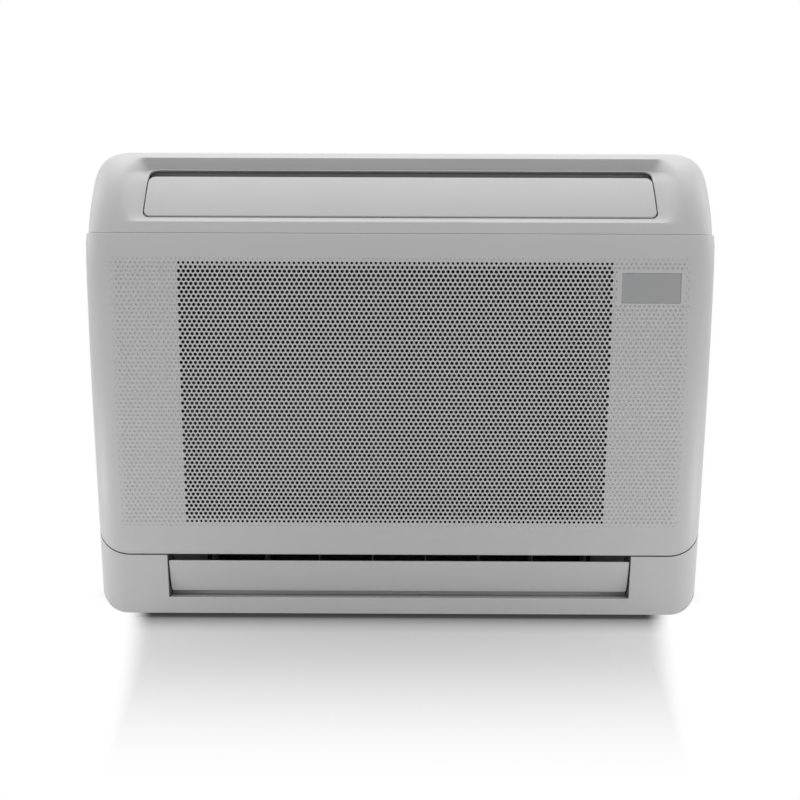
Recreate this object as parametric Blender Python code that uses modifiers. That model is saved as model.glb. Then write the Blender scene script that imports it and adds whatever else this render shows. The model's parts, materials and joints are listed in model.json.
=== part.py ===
"""Console indoor unit of a split air conditioner, as an assembly of separate pieces.

Metres, +Z up, the front faces -Y and +X is to the viewer's right. The origin is on the floor, in the
middle of the casing's width and depth.
"""

import math

import bmesh
import bpy
from mathutils import Matrix, Vector

NAME = "console_air_conditioner"

# Driving dimensions of the casing
WIDTH = 0.794
HEIGHT = 0.621
DEPTH = 0.200
FRONT = -DEPTH / 2
WALL = 0.0025
BOW_START = 0.240
CROWN_START = HEIGHT - 0.161
FOOT_SET_BACK = 0.021
LEAN = 2 * FOOT_SET_BACK / (CROWN_START + BOW_START)
CROWN_DEPTH = 0.112
EDGE_WIDTH = 0.037
EDGE_DEPTH = 0.018
FOOT_CHAMFER = 0.004
EDGE_STATIONS = 4
CROWN_STATIONS = 11

# Named clearances
SEAT = 0.0003
SEAM = 0.0006
HINGE_SEAM = 0.0017
RUNNING = 0.0005

# Front panel
PANEL_BOTTOM = 0.0888
PANEL_TOP = HEIGHT - 0.118
PANEL_RIM = 0.0360
PANEL_CORNER_WIDTH = 0.045
PANEL_CORNER_HEIGHT = 0.036
HOLE_PITCH = 0.0060
HOLE_WIDTH = 0.0034
HOLES_PER_MODELLED_HOLE = 9
FIELD_LEFT = 0.121 - WIDTH / 2
FIELD_RIGHT = WIDTH / 2 - 0.133
FIELD_BOTTOM = 0.1336
FIELD_TOP = PANEL_TOP - 0.0368
WINDOW_WIDTH = 0.0746
WINDOW_HEIGHT = 0.0364
WINDOW_X = WIDTH / 2 - 0.0836
WINDOW_Z = PANEL_TOP - 0.067
WINDOW_LIP = 0.002
PANEL_PIN_RADIUS = 0.0015
PANEL_PIN_Z = 0.0912
PANEL_LUG_X = WIDTH / 2 - 0.052
PANEL_LUG_SPAN = 0.014
PANEL_LUG_THICKNESS = 0.002

# Side catches
CATCH_Z = PANEL_TOP - 0.023
CATCH_HEIGHT = 0.026
CATCH_WIDTH = 0.009
CATCH_DEPTH_FROM_FRONT = 0.0255
CATCH_PROUD = 0.0017
CATCH_FLANGE = 0.003

# Upper outlet
UPPER_WIDTH = WIDTH - 0.1472
FLAP_GAP = 0.0019
LEDGE_BOTTOM = HEIGHT - 0.104
LEDGE_TOP = HEIGHT - 0.099
LEDGE_DEPTH = 0.0058
RECESS_OVERLAP = 0.014
UPPER_LIP_TOP = HEIGHT - 0.0157
UPPER_LIP_BOTTOM = HEIGHT - 0.0304
UPPER_LIP_SET_BACK = 0.0025
UPPER_FLAP_BOTTOM = HEIGHT - 0.0963
UPPER_FLAP_TOP = HEIGHT - 0.0424
UPPER_FLAP_BOTTOM_SET_BACK = 0.0043
UPPER_FLAP_TOP_SET_BACK = 0.0122
FLAP_THICKNESS = 0.0060
UPPER_AXIS_BEHIND = 0.0150
UPPER_AXIS_UP = 0.0080
FLAP_PIN_RADIUS = 0.0025
FLAP_CORNER = 0.009
FLAP_LOW_CORNER = 0.0054

# Lower outlet
LOWER_WIDTH = WIDTH - 0.1844
LOWER_BOTTOM = 0.0288
LOWER_FLAP_BOTTOM = 0.0352
LOWER_FLAP_TOP = 0.0793
LOWER_FLAP_TOP_SET_BACK = 0.0008
LOWER_FLAP_TILT = 0.0100
LOWER_AXIS_BEHIND = 0.0110
LOWER_AXIS_UP = 0.0099

# Ducts
DUCT_WALL = 0.002
DUCT_END_WALL = 0.003
THROAT_LEFT = 0.107 - WIDTH / 2
THROAT_RIGHT = WIDTH / 2 - 0.147
THROAT_FRONT = FRONT + 0.072
HOUSING_BOTTOM = 0.104
HOUSING_TOP = HEIGHT - 0.121
HOUSING_LEFT = 0.067 - WIDTH / 2
HOUSING_RIGHT = WIDTH / 2 - 0.135
HOUSING_BACK_WALL = 0.004

# Vanes
UPPER_VANES = 6
UPPER_VANE_PITCH = (UPPER_WIDTH - 0.0228) / UPPER_VANES
UPPER_VANE_AXIS_Y = FRONT + CROWN_DEPTH - 0.034
LOWER_VANES = 8
LOWER_VANE_PITCH = (LOWER_WIDTH - 0.0336) / LOWER_VANES
LOWER_VANE_AXIS_Y = FRONT + 0.066
VANE_THICKNESS = 0.0016
VANE_PIN_RADIUS = 0.0015
CRANK_PIN_RADIUS = 0.0012
LINK_HOLE_CLEARANCE = 0.0007
LINK_HEIGHT = 0.003
LINK_WIDTH = 0.007
UPPER_CRANK = 0.022
LOWER_CRANK = 0.011

# Fan, motor and inlet
FAN_X = -0.010
FAN_Z = (HOUSING_BOTTOM + HOUSING_TOP) / 2 - 0.002
FAN_RADIUS = (HOUSING_TOP - HOUSING_BOTTOM) / 2 - 0.026
FAN_FRONT = FRONT + 0.076
FAN_BACK = FRONT + 0.146
FAN_PLATE = 0.0025
BLADES = 9
BLADE_THICKNESS = 0.0028
BLADE_INNER_RADIUS = FAN_RADIUS - 0.080
INLET_RADIUS = FAN_RADIUS - 0.028
HUB_RADIUS = BLADE_INNER_RADIUS - 0.018
HUB_FRONT = FRONT + 0.1215
BOSS_RADIUS = 0.012
BOSS_FRONT = FRONT + 0.110
SHAFT_RADIUS = 0.004
SHAFT_FRONT = FRONT + 0.097
SHAFT_BACK = FRONT + 0.156
NUT_RADIUS = 0.0085
NUT_THICKNESS = 0.0065
MOTOR_RADIUS = HUB_RADIUS - 0.012
MOTOR_FRONT = FRONT + 0.131
CLAMP_WIDTH = 0.012
CLAMP_THICKNESS = 0.003
SCROLL_START = FAN_RADIUS + 0.014
SCROLL_END = FAN_RADIUS + 0.042
SCROLL_FROM = -60
SCROLL_TO = 20
INLET_PLATE = 0.003
INLET_PLATE_FRONT = FRONT + 0.067
BELL_DEPTH = 0.011
BELL_SUNK = 0.0005

# Heat exchanger
COIL_LEFT = 0.097 - WIDTH / 2
COIL_RIGHT = WIDTH / 2 - 0.157
COIL_BOTTOM = 0.100
COIL_TOP = HEIGHT - 0.137
COIL_FRONT = FRONT + 0.030
COIL_BACK = FRONT + 0.064
FIN_GROOVES = 26
GROOVE_DEPTH = 0.005
GROOVE_WIDTH = 0.006
END_PLATE = 0.0015
BEND_COUNT = 5
BEND_RADIUS = 0.0095
TUBE_RADIUS = 0.0035
PAN_FRONT = FRONT + 0.021
PAN_BACK = FRONT + 0.0665
PAN_BOTTOM = 0.0920
PAN_TOP = 0.1120
PAN_WALL = 0.002
SPOUT_RADIUS = 0.008
PIPE_X = 0.051 - WIDTH / 2
GAS_PIPE_RADIUS = 0.00635
LIQUID_PIPE_RADIUS = 0.0035
PIPE_SPACING = 0.034
PIPE_Y = FRONT + 0.075
PIPE_END = 0.150
FLARE_NUT_HEIGHT = 0.024
CLAMP_Z = 0.260

# Inner frame and filters
FRAME_FRONT = FRONT + 0.0233
FRAME_THICKNESS = 0.004
FRAME_RIM_BACK = FRONT + 0.050
FRAME_RIM = 0.002
FILTER_THICKNESS = 0.0036
FILTER_BOTTOM = 0.120
FILTER_TOP = HEIGHT - 0.135
FILTER_LEFT = 0.091 - WIDTH / 2
FILTER_RIGHT = WIDTH / 2 - 0.151
FILTER_SPLIT = 0.002
FILTER_BORDER = 0.007
FILTER_BAR = 0.003
FILTER_ROWS = 4
FILTER_COLUMNS = 3
FRAME_LEDGE = 0.004

# Rear chassis and wall plate
CASING_BACK = DEPTH / 2 - 0.002
CHASSIS_WALL = 0.004
CHASSIS_BACK = DEPTH / 2 - 0.003
CHASSIS_RIM_FRONT = CHASSIS_BACK - 0.047
CHASSIS_RIM = 0.0025
POST_RADIUS = 0.006
POST_X = WIDTH / 2 - 0.019
POST_UPPER_Z = HEIGHT - 0.169
POST_LOWER_Z = 0.112
PASSAGE_RADIUS = 0.030
PASSAGE_Z = 0.072
SCREW_HEAD_RADIUS = 0.0045
SCREW_HEAD = 0.0025
SCREW_SHANK_RADIUS = 0.002
SCREW_LENGTH = 0.018
PLATE_THICKNESS = 0.0016
PLATE_WIDTH = WIDTH - 0.154
PLATE_BOTTOM = HEIGHT - 0.141
PLATE_TOP = HEIGHT - 0.0075
PLATE_HOLE_RADIUS = 0.0035
PLATE_HOLES = 5
HOOK_X = PLATE_WIDTH / 2 - 0.120
HOOK_Z = HEIGHT - 0.015
HOOK_WIDTH = 0.030
HOOK_REACH = 0.0120
HOOK_LIP = 0.006

# Electrics
BOX_RIGHT = WIDTH / 2 - 0.013
BOX_LEFT = BOX_RIGHT - 0.110
BOX_BOTTOM = 0.128
BOX_TOP = HEIGHT - 0.181
BOX_FRONT = FRONT + 0.066
BOX_BACK = FRONT + 0.140
BOX_WALL = 0.0016
BOX_POST_RADIUS = 0.005
TERMINAL_HEIGHT = 0.034
TERMINAL_DEPTH = 0.022
TERMINALS = 4
BOARD_THICKNESS = 0.0016
BOARD_STAND_OFF = 0.008
DISPLAY_HEIGHT = 0.028
DISPLAY_WIDTH = 0.066
DISPLAY_FRONT = FRONT + 0.007
STEP_MOTOR_RADIUS = 0.0115
STEP_MOTOR_LENGTH = 0.018
STEP_MOTOR_NOSE_RADIUS = 0.0045

# Sides of a round piece, by its size
SIDES_LARGE = 36
SIDES_MEDIUM = 24
SIDES_SMALL = 10
SIDES_HOLE = 6

# Points closer than this are one point
MERGE = 0.00002

# Well past the casing on every side
REACH = 1.0


def main():
    clear_scene()
    parts = bpy.data.collections.new(NAME)
    bpy.context.scene.collection.children.link(parts)
    shop = Workshop(parts, make_materials())
    casing(shop)
    front_panel(shop)
    panel_catches(shop)
    outlet_flaps(shop)
    ducts(shop)
    vanes(shop)
    fan(shop)
    fan_housing(shop)
    heat_exchanger(shop)
    pipes(shop)
    inner_frame(shop)
    rear_chassis(shop)
    electrics(shop)


def clear_scene():
    for obj in list(bpy.data.objects):
        bpy.data.objects.remove(obj, do_unlink=True)


def make_materials():
    looks = {
        "casing_plastic": ((0.60, 0.61, 0.62), 0.42, 0.0),
        "frame_plastic": ((0.42, 0.43, 0.44), 0.50, 0.0),
        "window_plastic": ((0.30, 0.31, 0.33), 0.20, 0.0),
        "duct_foam": ((0.16, 0.16, 0.17), 0.75, 0.0),
        "fan_plastic": ((0.10, 0.10, 0.11), 0.45, 0.0),
        "vane_plastic": ((0.25, 0.25, 0.26), 0.50, 0.0),
        "filter_net": ((0.20, 0.22, 0.24), 0.60, 0.0),
        "fin_aluminium": ((0.72, 0.74, 0.76), 0.35, 1.0),
        "pipe_copper": ((0.72, 0.38, 0.22), 0.30, 1.0),
        "brass": ((0.70, 0.55, 0.25), 0.30, 1.0),
        "zinc_steel": ((0.55, 0.57, 0.60), 0.40, 1.0),
        "board_green": ((0.03, 0.20, 0.09), 0.45, 0.0),
        "black_plastic": ((0.03, 0.03, 0.03), 0.50, 0.0),
    }
    return {name: make_material(name, *look) for name, look in looks.items()}


def make_material(name, colour, roughness, metallic):
    material = bpy.data.materials.new(name)
    material.use_nodes = True
    shader = material.node_tree.nodes["Principled BSDF"]
    shader.inputs["Base Color"].default_value = (*colour, 1.0)
    shader.inputs["Roughness"].default_value = roughness
    shader.inputs["Metallic"].default_value = metallic
    material.diffuse_color = (*colour, 1.0)
    return material


class Workshop:
    """Makes plain solids, joins and cuts them, and files each finished piece under its name."""

    def __init__(self, parts, materials):
        self.parts = parts
        self.materials = materials

    def solid(self, mesh):
        obj = bpy.data.objects.new("solid", mesh)
        self.parts.objects.link(obj)
        return obj

    def from_bmesh(self, shape):
        bmesh.ops.recalc_face_normals(shape, faces=shape.faces)
        mesh = bpy.data.meshes.new("solid")
        shape.to_mesh(mesh)
        shape.free()
        return self.solid(mesh)

    def box(self, low, high):
        shape = bmesh.new()
        size = [h - l for l, h in zip(low, high)]
        middle = [(h + l) / 2 for l, h in zip(low, high)]
        placing = Matrix.Translation(middle) @ Matrix.Diagonal((*size, 1.0))
        bmesh.ops.create_cube(shape, size=1.0, matrix=placing)
        return self.from_bmesh(shape)

    def rod(self, start, end, radius, sides=SIDES_SMALL, end_radius=None):
        """A cylinder or cone from one point to another."""
        shape = bmesh.new()
        run = Vector(end) - Vector(start)
        turn = Vector((0, 0, 1)).rotation_difference(run).to_matrix().to_4x4()
        placing = Matrix.Translation((Vector(start) + Vector(end)) / 2) @ turn
        last = radius if end_radius is None else end_radius
        bmesh.ops.create_cone(
            shape,
            cap_ends=True,
            segments=sides,
            radius1=radius,
            radius2=last,
            depth=run.length,
            matrix=placing,
        )
        return self.from_bmesh(shape)

    def plate(self, outline, along, low, high):
        """A flat closed outline, extruded from low to high along the X, Y or Z axis."""
        curve = bpy.data.curves.new("outline", "CURVE")
        curve.dimensions = "2D"
        curve.fill_mode = "BOTH"
        curve.extrude = (high - low) / 2
        line = curve.splines.new("POLY")
        line.points.add(len(outline) - 1)
        for point, (u, v) in zip(line.points, outline):
            point.co = (u, v, 0, 1)
        line.use_cyclic_u = True
        middle = (high + low) / 2
        turns = {
            "X": Matrix(((0, 0, 1, middle), (1, 0, 0, 0), (0, 1, 0, 0), (0, 0, 0, 1))),
            "Y": Matrix(((1, 0, 0, 0), (0, 0, -1, middle), (0, 1, 0, 0), (0, 0, 0, 1))),
            "Z": Matrix(((1, 0, 0, 0), (0, 1, 0, 0), (0, 0, 1, middle), (0, 0, 0, 1))),
        }
        return self.from_curve(curve, turns[along])

    def tube(self, points, radius, resolution=1):
        """A round bar along a line of points."""
        curve = bpy.data.curves.new("line", "CURVE")
        curve.dimensions = "3D"
        curve.bevel_depth = radius
        curve.bevel_resolution = resolution
        curve.use_fill_caps = True
        line = curve.splines.new("POLY")
        line.points.add(len(points) - 1)
        for point, place in zip(line.points, points):
            point.co = (*place, 1)
        return self.from_curve(curve, Matrix.Identity(4))

    def from_curve(self, curve, placing):
        return self.applied(self.solid(curve), placing)

    def applied(self, holder, placing):
        """The mesh that a curve or a modifier makes, as a solid of its own, moved to its place."""
        bpy.context.view_layer.update()
        graph = bpy.context.evaluated_depsgraph_get()
        mesh = bpy.data.meshes.new_from_object(holder.evaluated_get(graph))
        bpy.data.objects.remove(holder)
        shape = bmesh.new()
        shape.from_mesh(mesh)
        shape.transform(placing)
        bmesh.ops.remove_doubles(shape, verts=shape.verts, dist=MERGE)
        return self.from_bmesh(shape)

    def turned(self, profile, centre, steps=SIDES_LARGE):
        """A closed profile of (radius, y) points turned round the line along Y through centre."""
        line = bpy.data.meshes.new("profile")
        points = [(radius, y, 0) for radius, y in profile]
        edges = [(i, (i + 1) % len(points)) for i in range(len(points))]
        line.from_pydata(points, edges, [])
        holder = self.solid(line)
        screw = holder.modifiers.new("turn", "SCREW")
        screw.axis = "Y"
        screw.steps = steps
        screw.render_steps = steps
        screw.use_merge_vertices = True
        screw.merge_threshold = MERGE
        return self.applied(holder, Matrix.Translation(centre))

    def group(self, solids):
        """Separate solids in one mesh, to be used as one cutter or one addition."""
        first, *others = solids
        shape = bmesh.new()
        shape.from_mesh(first.data)
        for other in others:
            shape.from_mesh(other.data)
            bpy.data.objects.remove(other)
        shape.to_mesh(first.data)
        shape.free()
        return first

    def combine(self, target, tool, operation, overlapping=False):
        modifier = target.modifiers.new(operation.lower(), "BOOLEAN")
        modifier.operation = operation
        modifier.solver = "EXACT"
        modifier.use_self = overlapping
        modifier.object = tool
        bpy.context.view_layer.update()
        graph = bpy.context.evaluated_depsgraph_get()
        mesh = bpy.data.meshes.new_from_object(target.evaluated_get(graph))
        target.modifiers.clear()
        target.data = mesh
        bpy.data.objects.remove(tool)
        return target

    def split_faces(self, target):
        """Makes every face a triangle, which keeps faces with holes sound through further cuts."""
        shape = bmesh.new()
        shape.from_mesh(target.data)
        bmesh.ops.triangulate(shape, faces=shape.faces)
        shape.to_mesh(target.data)
        shape.free()
        return target

    def cut(self, target, *tools):
        for tool in tools:
            self.combine(target, tool, "DIFFERENCE")
        return target

    def join(self, target, *tools):
        for tool in tools:
            self.combine(target, tool, "UNION")
        return target

    def common(self, target, tool):
        return self.combine(target, tool, "INTERSECT")

    def finish(self, obj, name, material, origin=None, smooth=False):
        """Names a piece, gives it its material and puts its origin on its joint's axis."""
        shape = bmesh.new()
        shape.from_mesh(obj.data)
        bmesh.ops.remove_doubles(shape, verts=shape.verts, dist=MERGE)
        bmesh.ops.dissolve_limit(
            shape, angle_limit=math.radians(0.2), verts=shape.verts, edges=shape.edges
        )
        shape.to_mesh(obj.data)
        shape.free()
        obj.name = name
        obj.data.name = name
        obj.data.materials.clear()
        obj.data.materials.append(self.materials[material])
        if origin is not None:
            obj.data.transform(Matrix.Translation(-Vector(origin)))
            obj.location = origin
        if smooth:
            obj.data.shade_smooth()
            obj.data.set_sharp_from_angle(angle=math.radians(35))
        return obj


def front_y(z):
    """Y of the casing's front surface at height z, in the middle of its width."""
    bow = LEAN / (2 * (CROWN_START - BOW_START))
    if z < BOW_START:
        return FRONT + bow * (CROWN_START - BOW_START) ** 2 + LEAN * (BOW_START - z)
    if z < CROWN_START:
        return FRONT + bow * (CROWN_START - z) ** 2
    rise = min(1.0, (z - CROWN_START) / (HEIGHT - CROWN_START))
    return FRONT + CROWN_DEPTH * (1 - math.sqrt(1 - rise * rise))


def crown_point(turn):
    """A point of the crown's quarter ellipse, from its start at 0 to the top face at 90 degrees."""
    y = FRONT + CROWN_DEPTH * (1 - math.cos(turn))
    return Vector((y, CROWN_START + (HEIGHT - CROWN_START) * math.sin(turn)))


def front_chain():
    """The casing's front and top as points (y, z), from above the foot to the top face."""
    heights = [0.045, PANEL_BOTTOM, 0.125, BOW_START]
    steps = 3
    heights += [BOW_START + (CROWN_START - BOW_START) * i / steps for i in range(1, steps)]
    chain = [Vector((front_y(z), z)) for z in heights]
    chain += [crown_point(math.pi / 2 * i / CROWN_STATIONS) for i in range(CROWN_STATIONS + 1)]
    return chain


def moved_inwards(chain, distance):
    """The chain moved inwards along its normals. Its ends point straight up and straight back."""
    moved = []
    for i, point in enumerate(chain):
        before = chain[max(i - 1, 0)]
        after = chain[min(i + 1, len(chain) - 1)]
        run = (after - before).normalized()
        if i == len(chain) - 1:
            run = Vector((1, 0))
        if i == 0:
            run = (chain[1] - chain[0]).normalized()
        moved.append(point + Vector((run.y, -run.x)) * distance)
    return moved


def casing_solid(shop, inset, back):
    """The closed outer form of the unit, moved inwards by inset, with its back plane at back.

    It is a loft of side sections. Towards each end the sections draw in, round the front and top
    edges, and rise off the floor, round the bottom corners.
    """
    width = EDGE_WIDTH - inset
    depth = EDGE_DEPTH - inset
    shape = bmesh.new()
    rings = []
    turns = [math.pi / 2 * i / EDGE_STATIONS for i in range(EDGE_STATIONS + 1)]
    for side in (-1, 1):
        for turn in turns if side > 0 else reversed(turns):
            x = side * (WIDTH / 2 - EDGE_WIDTH + width * math.sin(turn))
            shrink = inset + depth * (1 - math.cos(turn))
            foot = inset + (EDGE_WIDTH - inset) * (1 - math.cos(turn))
            rings.append([shape.verts.new((x, y, z)) for y, z in side_section(shrink, foot, back)])
    for first, second in zip(rings, rings[1:]):
        for i in range(len(first)):
            shape.faces.new((first[i - 1], first[i], second[i], second[i - 1]))
    shape.faces.new(rings[0])
    shape.faces.new(rings[-1])
    return shop.from_bmesh(shape)


def side_section(shrink, foot, back):
    """A closed side section as (y, z) points: foot, front, crown, top, back."""
    chain = moved_inwards(front_chain(), shrink)
    start = front_y(foot) + shrink
    ring = [(start + FOOT_CHAMFER, foot), (start, foot + FOOT_CHAMFER)]
    ring += [(point.x, point.y) for point in chain]
    ring += [(back, HEIGHT - shrink), (back, foot)]
    return ring


def panel_outline(gap, corner_gap):
    """The front panel's edge seen from the front, as (x, z), drawn in by its gaps."""
    half = WIDTH / 2 + 0.02
    bottom = PANEL_BOTTOM + corner_gap
    width = PANEL_CORNER_WIDTH
    height = PANEL_CORNER_HEIGHT
    steps = 6
    corner = []
    for i in range(steps + 1):
        turn = math.pi / 2 * i / steps
        x = WIDTH / 2 - width + width * math.sin(turn)
        z = bottom + height * (1 - math.cos(turn))
        corner.append((x, z))
    right = [*corner, (half, corner[-1][1]), (half, PANEL_TOP - gap)]
    return right + [(-x, z) for x, z in reversed(right)]


def shell(shop):
    """The unit's moulded skin, open at the back."""
    outer = casing_solid(shop, 0.0, CASING_BACK)
    return shop.cut(outer, casing_solid(shop, WALL, CASING_BACK + 0.02))


def upper_flap_line():
    """The bottom and top of the upper flap's outer face, as (y, z)."""
    bottom = Vector((front_y(UPPER_FLAP_BOTTOM) + UPPER_FLAP_BOTTOM_SET_BACK, UPPER_FLAP_BOTTOM))
    top = Vector((front_y(UPPER_FLAP_TOP) + UPPER_FLAP_TOP_SET_BACK, UPPER_FLAP_TOP))
    return bottom, top


def recess_outline(depth):
    """The scooped recess of the upper outlet in side view, as (y, z), made larger by depth."""
    bottom, top = upper_flap_line()
    lip = front_y(UPPER_LIP_TOP)
    ledge = front_y(LEDGE_BOTTOM)
    return [
        (ledge - 0.03, LEDGE_BOTTOM - depth - 0.02),
        (ledge, LEDGE_BOTTOM - depth),
        (ledge + LEDGE_DEPTH + depth, LEDGE_TOP - depth),
        (top.x + depth, top.y),
        (lip + UPPER_LIP_SET_BACK + depth, UPPER_LIP_BOTTOM - depth),
        (lip + depth, UPPER_LIP_TOP),
        (lip + depth, UPPER_LIP_TOP + 0.03),
        (ledge - 0.03, UPPER_LIP_TOP + 0.03),
    ]


def casing(shop):
    """Crown, side walls and bottom strip in one moulding, with the recess and the lower outlet."""
    body = shell(shop)
    half = UPPER_WIDTH / 2 + RECESS_OVERLAP
    liner = shop.plate(recess_outline(WALL), "X", -half - WALL, half + WALL)
    body = shop.join(body, shop.common(liner, casing_solid(shop, WALL / 4, CASING_BACK)))
    body = shop.split_faces(body)
    body = shop.cut(body, shop.plate(recess_outline(0.0), "X", -half, half))
    body = shop.split_faces(body)
    body = shop.cut(body, upper_mouth(shop), lower_mouth(shop))
    rim_front = FRONT + PANEL_RIM
    opening = shop.plate(panel_outline(0.0, -HINGE_SEAM), "Y", -REACH, rim_front)
    body = shop.cut(body, opening)
    for side in (-1, 1):
        body = shop.join(body, panel_hook(shop, side))
    shop.finish(body, "front_casing", "casing_plastic", smooth=True)


def upper_mouth(shop):
    """The opening through the recess, from just above the ledge to the upper lip."""
    bottom, top = upper_flap_line()
    lip = front_y(UPPER_LIP_TOP) + UPPER_LIP_SET_BACK
    start = front_y(LEDGE_BOTTOM) + LEDGE_DEPTH
    outline = [
        (start - 0.002, LEDGE_TOP),
        (start + 0.03, LEDGE_TOP - 0.006),
        (lip + 0.02, UPPER_LIP_BOTTOM - 0.02),
        (lip + 0.004, UPPER_LIP_BOTTOM - 0.0006),
        (top.x - 0.004, UPPER_LIP_BOTTOM - 0.0006),
    ]
    return shop.plate(outline, "X", -UPPER_WIDTH / 2, UPPER_WIDTH / 2)


def lower_mouth(shop):
    half = LOWER_WIDTH / 2
    return shop.box((-half, FRONT - 0.02, LOWER_BOTTOM), (half, FRONT + 0.05, PANEL_BOTTOM + 0.01))


def panel_pin():
    """The front panel's hinge axis, as (y, z), just behind the panel's skin."""
    behind = WALL + PANEL_PIN_RADIUS + 0.0003
    return front_y(PANEL_PIN_Z) + behind, PANEL_PIN_Z


def panel_hook(shop, side):
    """An open saddle under and behind the panel's hinge pin, clear of the panel's edge as it swings."""
    y, z = panel_pin()
    wall = front_y(z) + WALL - 0.001
    below = z - PANEL_PIN_RADIUS - SEAT
    back = y + PANEL_PIN_RADIUS + SEAT
    width = PANEL_LUG_SPAN / 2 - PANEL_LUG_THICKNESS - RUNNING
    lip = PANEL_BOTTOM - HINGE_SEAM
    outline = [
        (wall, lip - 0.012),
        (wall, lip - 0.0005),
        (y, lip - 0.0005),
        (y, below),
        (back, below),
        (back, z + PANEL_PIN_RADIUS),
        (back + 0.002, z + PANEL_PIN_RADIUS),
        (back + 0.002, lip - 0.008),
    ]
    x = side * PANEL_LUG_X
    return shop.plate(outline, "X", x - width, x + width)


def hole_places(pitch, width):
    """Centres of the holes of a staggered field that keeps inside the panel's perforated field."""
    row_step = pitch * math.sqrt(3) / 2
    left = FIELD_LEFT + width / 2
    right = FIELD_RIGHT - width / 2
    rows = int((FIELD_TOP - FIELD_BOTTOM - width) / row_step) + 1
    columns = int((right - left) / pitch) + 1
    start_x = (left + right) / 2 - (columns - 1) * pitch / 2
    start_z = (FIELD_BOTTOM + FIELD_TOP) / 2 - (rows - 1) * row_step / 2
    places = []
    for row in range(rows):
        odd = row % 2
        for column in range(columns - odd):
            places.append((start_x + (column + odd / 2) * pitch, start_z + row * row_step))
    return places


def front_panel(shop):
    """The wrap-round front panel with its perforated field, its window hole and its hinge pins."""
    region = shop.plate(panel_outline(SEAM, 0.0), "Y", -REACH, FRONT + PANEL_RIM - SEAM)
    body = shop.common(shell(shop), region)
    low, high = window_box(SEAT)
    body = shop.cut(body, shop.box(low, high))
    for side in (-1, 1):
        body = shop.cut(body, shop.box(*catch_box(side, RUNNING)))
    pitch = HOLE_PITCH * HOLES_PER_MODELLED_HOLE
    width = HOLE_WIDTH * HOLES_PER_MODELLED_HOLE
    holes = []
    for x, z in hole_places(pitch, width):
        holes.append(
            shop.rod((x, FRONT - 0.02, z), (x, FRONT + 0.03, z), width / 2, SIDES_HOLE)
        )
    body = shop.cut(body, shop.group(holes))
    for side in (-1, 1):
        body = shop.join(body, panel_lugs(shop, side))
    y, z = panel_pin()
    shop.finish(body, "front_panel", "casing_plastic", origin=(0, y, z), smooth=True)
    window = shop.box(*window_box(0.0))
    low, high = window_box(-WINDOW_LIP)
    seat = front_y(low[2]) + WALL + 2 * SEAT
    flange = shop.box((low[0], seat, low[2]), (high[0], seat + 0.0015, high[2]))
    window = shop.join(window, flange)
    shop.finish(window, "display_window", "window_plastic", origin=(0, y, z))


def window_box(grow):
    """The display window's block, made larger by a clearance. A minus value makes the flange."""
    grow = abs(grow)
    top = WINDOW_Z + WINDOW_HEIGHT / 2 + grow
    bottom = WINDOW_Z - WINDOW_HEIGHT / 2 - grow
    face = front_y(bottom)
    low = (WINDOW_X - WINDOW_WIDTH / 2 - grow, face, bottom)
    high = (WINDOW_X + WINDOW_WIDTH / 2 + grow, face + WALL + SEAT + 0.0005, top)
    if grow:
        low = (low[0], face - 0.01, bottom)
        high = (high[0], face + 0.02, top)
    return low, high


def panel_lugs(shop, side):
    """Two small lugs behind the panel's skin with the hinge pin between them."""
    y, z = panel_pin()
    skin = front_y(z) + WALL - 0.0012
    middle = side * PANEL_LUG_X
    ends = []
    for lug in (-1, 1):
        centre = middle + lug * (PANEL_LUG_SPAN - PANEL_LUG_THICKNESS) / 2
        low = (centre - PANEL_LUG_THICKNESS / 2, skin, z - PANEL_PIN_RADIUS)
        high = (centre + PANEL_LUG_THICKNESS / 2, y + PANEL_PIN_RADIUS, z + 4 * PANEL_PIN_RADIUS)
        ends.append(shop.box(low, high))
    reach = PANEL_LUG_SPAN / 2 - PANEL_LUG_THICKNESS / 2
    pin = shop.rod((middle - reach, y, z), (middle + reach, y, z), PANEL_PIN_RADIUS)
    return shop.join(ends[0], pin, ends[1])


def catch_box(side, grow):
    """The catch's slot through the panel's side wall."""
    y = FRONT + CATCH_DEPTH_FROM_FRONT
    inner = side * (WIDTH / 2 - 0.012)
    outer = side * (WIDTH / 2 + 0.012)
    low = (min(inner, outer), y - CATCH_WIDTH / 2 - grow, CATCH_Z - CATCH_HEIGHT / 2 - grow)
    high = (max(inner, outer), y + CATCH_WIDTH / 2 + grow, CATCH_Z + CATCH_HEIGHT / 2 + grow)
    return low, high


def panel_catches(shop):
    """A push catch in each side of the panel, held from behind by its flange."""
    y = FRONT + CATCH_DEPTH_FROM_FRONT
    skin = WIDTH / 2 - WALL
    for side, name in ((-1, "panel_catch_left"), (1, "panel_catch_right")):
        outer = side * (WIDTH / 2 + CATCH_PROUD)
        inner = side * (skin - 0.0045)
        low = (min(outer, inner), y - CATCH_WIDTH / 2, CATCH_Z - CATCH_HEIGHT / 2)
        high = (max(outer, inner), y + CATCH_WIDTH / 2, CATCH_Z + CATCH_HEIGHT / 2)
        pad = shop.box(low, high)
        bevel_edges(pad, 0.0008)
        near = side * (skin - SEAT)
        far = side * (skin - 0.0025)
        grow = CATCH_FLANGE
        low = (min(near, far), y - CATCH_WIDTH / 2, CATCH_Z - CATCH_HEIGHT / 2 - grow)
        high = (max(near, far), y + CATCH_WIDTH / 2 + grow, CATCH_Z + CATCH_HEIGHT / 2 + grow)
        flange = shop.box(low, high)
        shop.finish(shop.join(flange, pad), name, "casing_plastic", origin=(outer, y, CATCH_Z))


def bevel_edges(obj, width):
    shape = bmesh.new()
    shape.from_mesh(obj.data)
    bmesh.ops.bevel(
        shape, geom=list(shape.edges), offset=width, offset_type="OFFSET", segments=1, affect="EDGES"
    )
    shape.to_mesh(obj.data)
    shape.free()


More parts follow.
